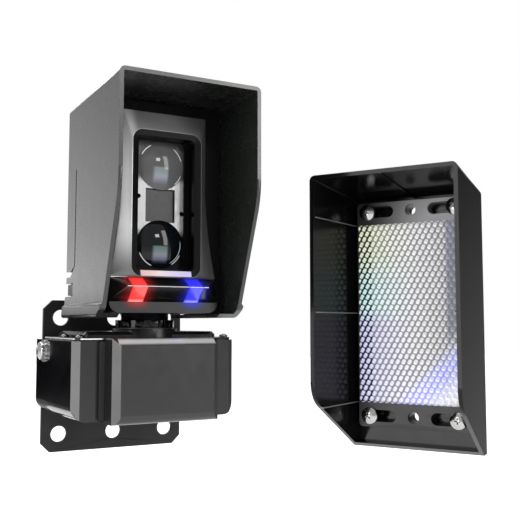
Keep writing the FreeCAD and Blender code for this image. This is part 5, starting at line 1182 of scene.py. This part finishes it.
@dataclass
class OpticalHead(Assembly):
    """The head: case, face plate, bezel, lenses, light bar and what is inside."""

    dome_rise: float = 3.55 * MM
    rim_depth: float = 2.0 * MM
    sides: int = 96
    rings: int = 16
    looks: ClassVar[Looks] = (
        (CASE_BLACK, 0.3 * MM, "head_case"),
        (FACE_BLACK, 0.2 * MM, "face_plate"),
        (BEZEL_LACQUER_PAINTED_LIGHT, 0.25 * MM, "bezel"),
        (CARRIER_SILVER, 0.12 * MM, "lens_carrier"),
        (WINDOW_BLACK, 0.15 * MM, "window_frame"),
        (TRIM_SATIN, 0.5 * MM, "lower_trim"),
        (SMOKED, 0.3 * MM, "indicator_bar"),
        (NECK_METAL, 0.15 * MM, "swivel_post"),
        (RED_GLOW, 0.3 * MM, "red_light_pipe"),
        (BLUE_GLOW, 0.3 * MM, "blue_light_pipe"),
        (RUBBER, 0.0, "case_gasket"),
        (CASE_BLACK, 0.0, "lens_tubes"),
        (DIODE_CLEAR, 0.0, "emitter_led", "receiver_diode", "status_leds"),
        (BOARD, 0.0, "main_board"),
        (RELAY_BLUE, 0.0, "relay"),
        (ZINC, 0.0, "case_screws", "board_screws", "swivel_nut"),
    )

    def model(self) -> None:
        """Models both lenses."""
        self.build_lens("emitter_lens", UPPER_GLASS)
        self.build_lens("receiver_lens", LOWER_GLASS)

    def build_lens(self, node: str, finish: Finish) -> None:
        """Models one lens: a short rim with a domed front.

        Args:
            node: The node that it stands for.
            finish: Its finish.
        """
        low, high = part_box(node)
        radius = (high.x - low.x) / 2
        lens = Shop.cylinder("domed_" + node, radius, self.rim_depth, self.sides)
        Shop.crown(lens, self.rim_depth, radius, self.dome_rise, self.rings)
        centre = ((low.x + high.x) / 2, high.y, (low.z + high.z) / 2)
        lens.data.transform(facing((0, -1, 0), centre))
        self.fitter.hand_over(lens, finish, Body.HEAD, "lens_glass", node)


@dataclass
class SlidingHood(Assembly):
    """The hood over the head."""

    looks: ClassVar[Looks] = ((HOOD_SATIN, 0.35 * MM, "sensor_hood"),)


@dataclass
class ReflectorUnit(Assembly):
    """The reflector: shade, tray, prism panel and its four screws."""

    origin: Point = (142.7 * MM, -101.3 * MM, 35.8 * MM)
    turn: float = math.radians(-58.5)
    screw_x: float = 26.0 * MM
    screw_z: float = 59.4 * MM
    seat: float = 1.0 * MM
    # The turn of the first screw about its own axis, and how much further each next one is turned
    screw_turn: float = 0.5
    turn_step: float = 1.1
    rib_spacing: float = 52.4 * MM
    rib_reach: Span = (-44.4 * MM, 7 * MM)
    rib_half: float = 0.3 * MM
    # How far the left wall lies from the middle, and how much it leans outwards
    wall_zone: Span = (30 * MM, 37.2 * MM)
    flare: float = 0.0625
    tray_end_z: float = 87 * MM
    screw: PanHeadScrew = PanHeadScrew(9.6 * MM, 3.2 * MM, 5 * MM, 8 * MM)

    @property
    def looks(self) -> Looks:
        """Lists the shade with painted highlight lines along its ribs, the tray with a painted highlight on
        its upper end and the panel.

        Returns:
            The finishes, the roundings and their nodes.
        """
        shade = replace(SHADE_SATIN, patches=tuple(self.rib_highlight(level) for level in (-1, 0, 1)))
        # A painted highlight on the upper right end of the tray
        right = self.limit(X_AXIS, -2 * MM, BEYOND, 26 * MM)
        top = (Z_AXIS, self.tray_end_z, BEYOND, 0.5 * MM)
        tray = replace(CASE_BLACK, name="tray_satin_painted_highlight", patches=(Patch((0.34, 0.34, 0.35), (right, top)),))
        film = PrismFilm("prism_film", (0.93, 0.93, 0.94), 0.16, centre=self.origin, turn=self.turn)
        return ((shade, 0.3 * MM, "reflector_hood"), (tray, 0.2 * MM, "reflector_tray"),
                (film, 0.0, "prism_panel"))

    def frame(self) -> Matrix:
        """Returns the frame of the unit, from its own coordinates to the model's."""
        return Matrix.Translation(Vector(self.origin)) @ turned(self.turn)

    def limit(self, direction: Point, low: float, high: float, soft: float) -> Limit:
        """Turns a limit from the unit's own coordinates to the model's.

        Args:
            direction: The direction, in the unit's own coordinates.
            low: The low limit along it.
            high: The high limit along it.
            soft: How far both are blurred.

        Returns:
            The limit.
        """
        heading = self.frame().to_3x3() @ Vector(direction)
        start = heading.dot(Vector(self.origin))
        return tuple(heading), start + low, start + high, soft

    def rib_highlight(self, level: int) -> Patch:
        """Gives the painted highlight line along one rib of the left wall.

        Args:
            level: The rib, counted upwards from the middle one.

        Returns:
            The line.
        """
        z = self.origin[2] + level * self.rib_spacing
        wall = self.limit((-1.0, self.flare, 0.0), *self.wall_zone, 0.3 * MM)
        inside = self.limit(Y_AXIS, *self.rib_reach, 0.5 * MM)
        line = (Z_AXIS, z - self.rib_half, z + self.rib_half, 0.15 * MM)
        return Patch((0.16, 0.16, 0.16), (wall, inside, line))

    def model(self) -> None:
        """Sets a screw at each corner of the tray, each turned its own way."""
        frames = []
        for index, (x, z) in enumerate(((-1, -1), (1, -1), (-1, 1), (1, 1))):
            base = (x * self.screw_x, self.seat, z * self.screw_z)
            turn = turned(self.screw_turn + self.turn_step * index)
            frames.append(self.frame() @ facing((0, -1, 0), base) @ turn)
        self.fitter.set_screws(self.screw, frames, NICKEL, Body.ROOT, "reflector_screws")


def stand(name: str, data: bpy.types.Light | bpy.types.Camera, place: Point, look: Vector) -> Piece:
    """Stands a lamp or a camera in its place and aims it.

    Args:
        name: Its name.
        data: The lamp or the camera.
        place: Where it stands.
        look: The direction that it looks in.

    Returns:
        The object.
    """
    holder = bpy.data.objects.new(name, data)
    bpy.context.scene.collection.objects.link(holder)
    tune(holder, location=place, rotation_euler=look.to_track_quat("-Z", "Y").to_euler())
    return holder


@dataclass(frozen=True)
class Softbox:
    """A rectangular lamp; its light is white."""

    name: str
    place: Point
    aim: Point
    size: tuple[float, float]
    power: float
    mirrored: bool = True

    def build(self) -> None:
        """Hangs the lamp and aims it."""
        width, height = self.size
        data = bpy.data.lights.new(self.name, "AREA")
        tune(data, shape="RECTANGLE", size=width, size_y=height, energy=self.power)
        lamp = stand(self.name, data, self.place, Vector(self.aim) - Vector(self.place))
        tune(lamp, visible_camera=False, visible_glossy=self.mirrored)


@dataclass(frozen=True)
class Card:
    """An upright card whose light is graded by height; gloss mirrors it and the camera does not see it."""

    name: str
    place: tuple[float, float]
    width: float
    rise: Span
    strength: float
    stops: tuple[tuple[float, float], ...]

    def build(self) -> None:
        """Stands the card where only the gloss of the object mirrors it."""
        low, high = self.rise
        x, y = self.place
        Shop.clear()
        bpy.ops.mesh.primitive_plane_add(size=1.0, rotation=(math.pi / 2, 0, math.atan2(x, -y)))
        tune(bpy.context.object, scale=(self.width, high - low, 1.0), location=(x, y, (low + high) / 2))
        plane = Shop.settle(self.name)
        tune(plane, visible_camera=False, visible_diffuse=False, visible_shadow=False)
        bench = Bench(bpy.data.materials.new(self.name + "_light"))
        share = bench.math("DIVIDE", bench.math("SUBTRACT", bench.axis("Z"), low), high - low)
        grade = bench.ramp(share, [(stop, (light, light, light)) for stop, light in self.stops])
        light = bench.add("Emission", {"Color": grade, "Strength": self.strength})
        bench.feed(bench.tree.nodes["Material Output"].inputs["Surface"], light.outputs["Emission"])
        plane.data.materials.append(bench.owner)


@dataclass
class Studio:
    """The plain pale floor, the soft lamps, the white surround and the camera."""

    eye: Point = (-145.3 * MM, -453.8 * MM, 30.0 * MM)
    heading: float = math.radians(28.34)
    pitch: float = math.radians(4.6)
    focal_px: float = 781.7
    frame_px: float = 520.0
    sensor: float = 36.0
    floor_z: float = -0.30
    ambient: float = 0.3
    softboxes: tuple[Softbox, ...] = (
        Softbox("far_left", (-1.25, -0.45, 0.15), (0, 0, 0.05), (0.5, 0.9), 7.0),
        Softbox("overhead", (0.1, -0.1, 1.3), (0.03, -0.05, 0.0), (0.9, 0.9), 12.0),
        Softbox("key_strip", (0.75, -1.35, 0.62), (0.0, -0.08, 0.08), (0.3, 1.0), 11.0),
        Softbox("window", (0.22, -1.42, 0.73), (0.0, -0.08, 0.09), (0.26, 0.2), 5.0),
        Softbox("rim_light", (-0.2, 1.3, 1.0), (0.0, -0.05, 0.0), (1.2, 0.4), 9.0),
        Softbox("front_fill", (-0.42, -1.3, 0.32), (0.0, -0.08, 0.09), (0.4, 0.4), 5.0, mirrored=False),
    )
    cards: tuple[Card, ...] = (
        Card("card_behind_left", (-0.42, 1.1), 1.3, (-0.30, 0.62), 2.0,
             ((0.0, 0.1), (0.14, 0.08), (0.205, 0.0), (0.36, 0.0), (0.41, 1.0), (0.54, 0.66), (1.0, 0.24))),
        Card("card_behind_right", (1.3, 0.22), 1.4, (-0.30, 0.40), 0.3,
             ((0.0, 1.0), (0.3, 0.7), (1.0, 0.1))),
    )

    def build(self) -> None:
        """Builds the whole studio."""
        self.build_camera()
        self.build_floor()
        self.build_surround()
        for piece in (*self.cards, *self.softboxes):
            piece.build()
        bpy.context.scene.view_settings.view_transform = "Standard"

    def build_camera(self) -> None:
        """Sets the camera where the photograph was taken from."""
        data = bpy.data.cameras.new("camera")
        lens = self.focal_px / self.frame_px * self.sensor
        tune(data, sensor_width=self.sensor, lens=lens, clip_start=0.01)
        level = math.cos(self.pitch)
        look = Vector((math.sin(self.heading) * level, math.cos(self.heading) * level, math.sin(self.pitch)))
        bpy.context.scene.camera = stand("camera", data, self.eye, look)

    def build_floor(self) -> None:
        """Lays the pale floor, which looks white to the camera and keeps the shadow."""
        Shop.clear()
        bpy.ops.mesh.primitive_plane_add(size=12.0, location=(0, 0, self.floor_z))
        floor = Shop.settle("floor")
        bench = Bench(bpy.data.materials.new("floor_pale"))
        bench.shade(Base_Color=bench.clouded(0.4, (0.80, 0.80, 0.80), (0.82, 0.82, 0.82)), Roughness=0.9)
        self.white_to_eye(bench)
        floor.data.materials.append(bench.owner)

    @staticmethod
    def seen(bench: Bench) -> Socket:
        """Tells the rays that come from the camera or from a mirror-like or clear surface.

        Args:
            bench: The node tree.

        Returns:
            1 for these rays and 0 for the rest.
        """
        rays = bench.add("LightPath").outputs
        eye = bench.math("MAXIMUM", rays["Is Camera Ray"], rays["Is Glossy Ray"])
        return bench.math("MAXIMUM", eye, rays["Is Transmission Ray"])

    def white_to_eye(self, bench: Bench) -> None:
        """Adds white light to the floor for the rays that see it, more of it far from the object.

        Args:
            bench: The floor's node tree.
        """
        distance = bench.add("VectorMath", {0: bench.place()}, operation="LENGTH").outputs["Value"]
        share = bench.product(self.seen(bench), bench.remap(distance, (0.6, 2.0), (0.86, 1.0)))
        white = bench.add("Emission", {"Strength": share}).outputs["Emission"]
        both = bench.add("AddShader", {0: bench.shader.outputs["BSDF"], 1: white}).outputs["Shader"]
        bench.feed(bench.tree.nodes["Material Output"].inputs["Surface"], both)

    def build_surround(self) -> None:
        """Makes the surround white to the eye and a dim even light for everything else."""
        world = bpy.data.worlds.new("surround")
        bpy.context.scene.world = world
        bench = Bench(world, "Background")
        bench.shade(Color=WHITE, Strength=bench.remap(self.seen(bench), RISING, (self.ambient, 1.0)))


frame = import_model()
NODES: dict[str, Piece] = frame["nodes"]


def main() -> None:
    """Builds every sub-assembly and the studio, in order."""
    logging.basicConfig(level=logging.INFO, format="%(name)s: %(message)s")
    fitter = Fitter()
    for kind in (WallBracket, WiringCradle, OpticalHead, SlidingHood, ReflectorUnit):
        kind(fitter).build()
        LOG.info("finished %s", kind.__name__)
    Studio().build()


if __name__ == "__main__":
    main()
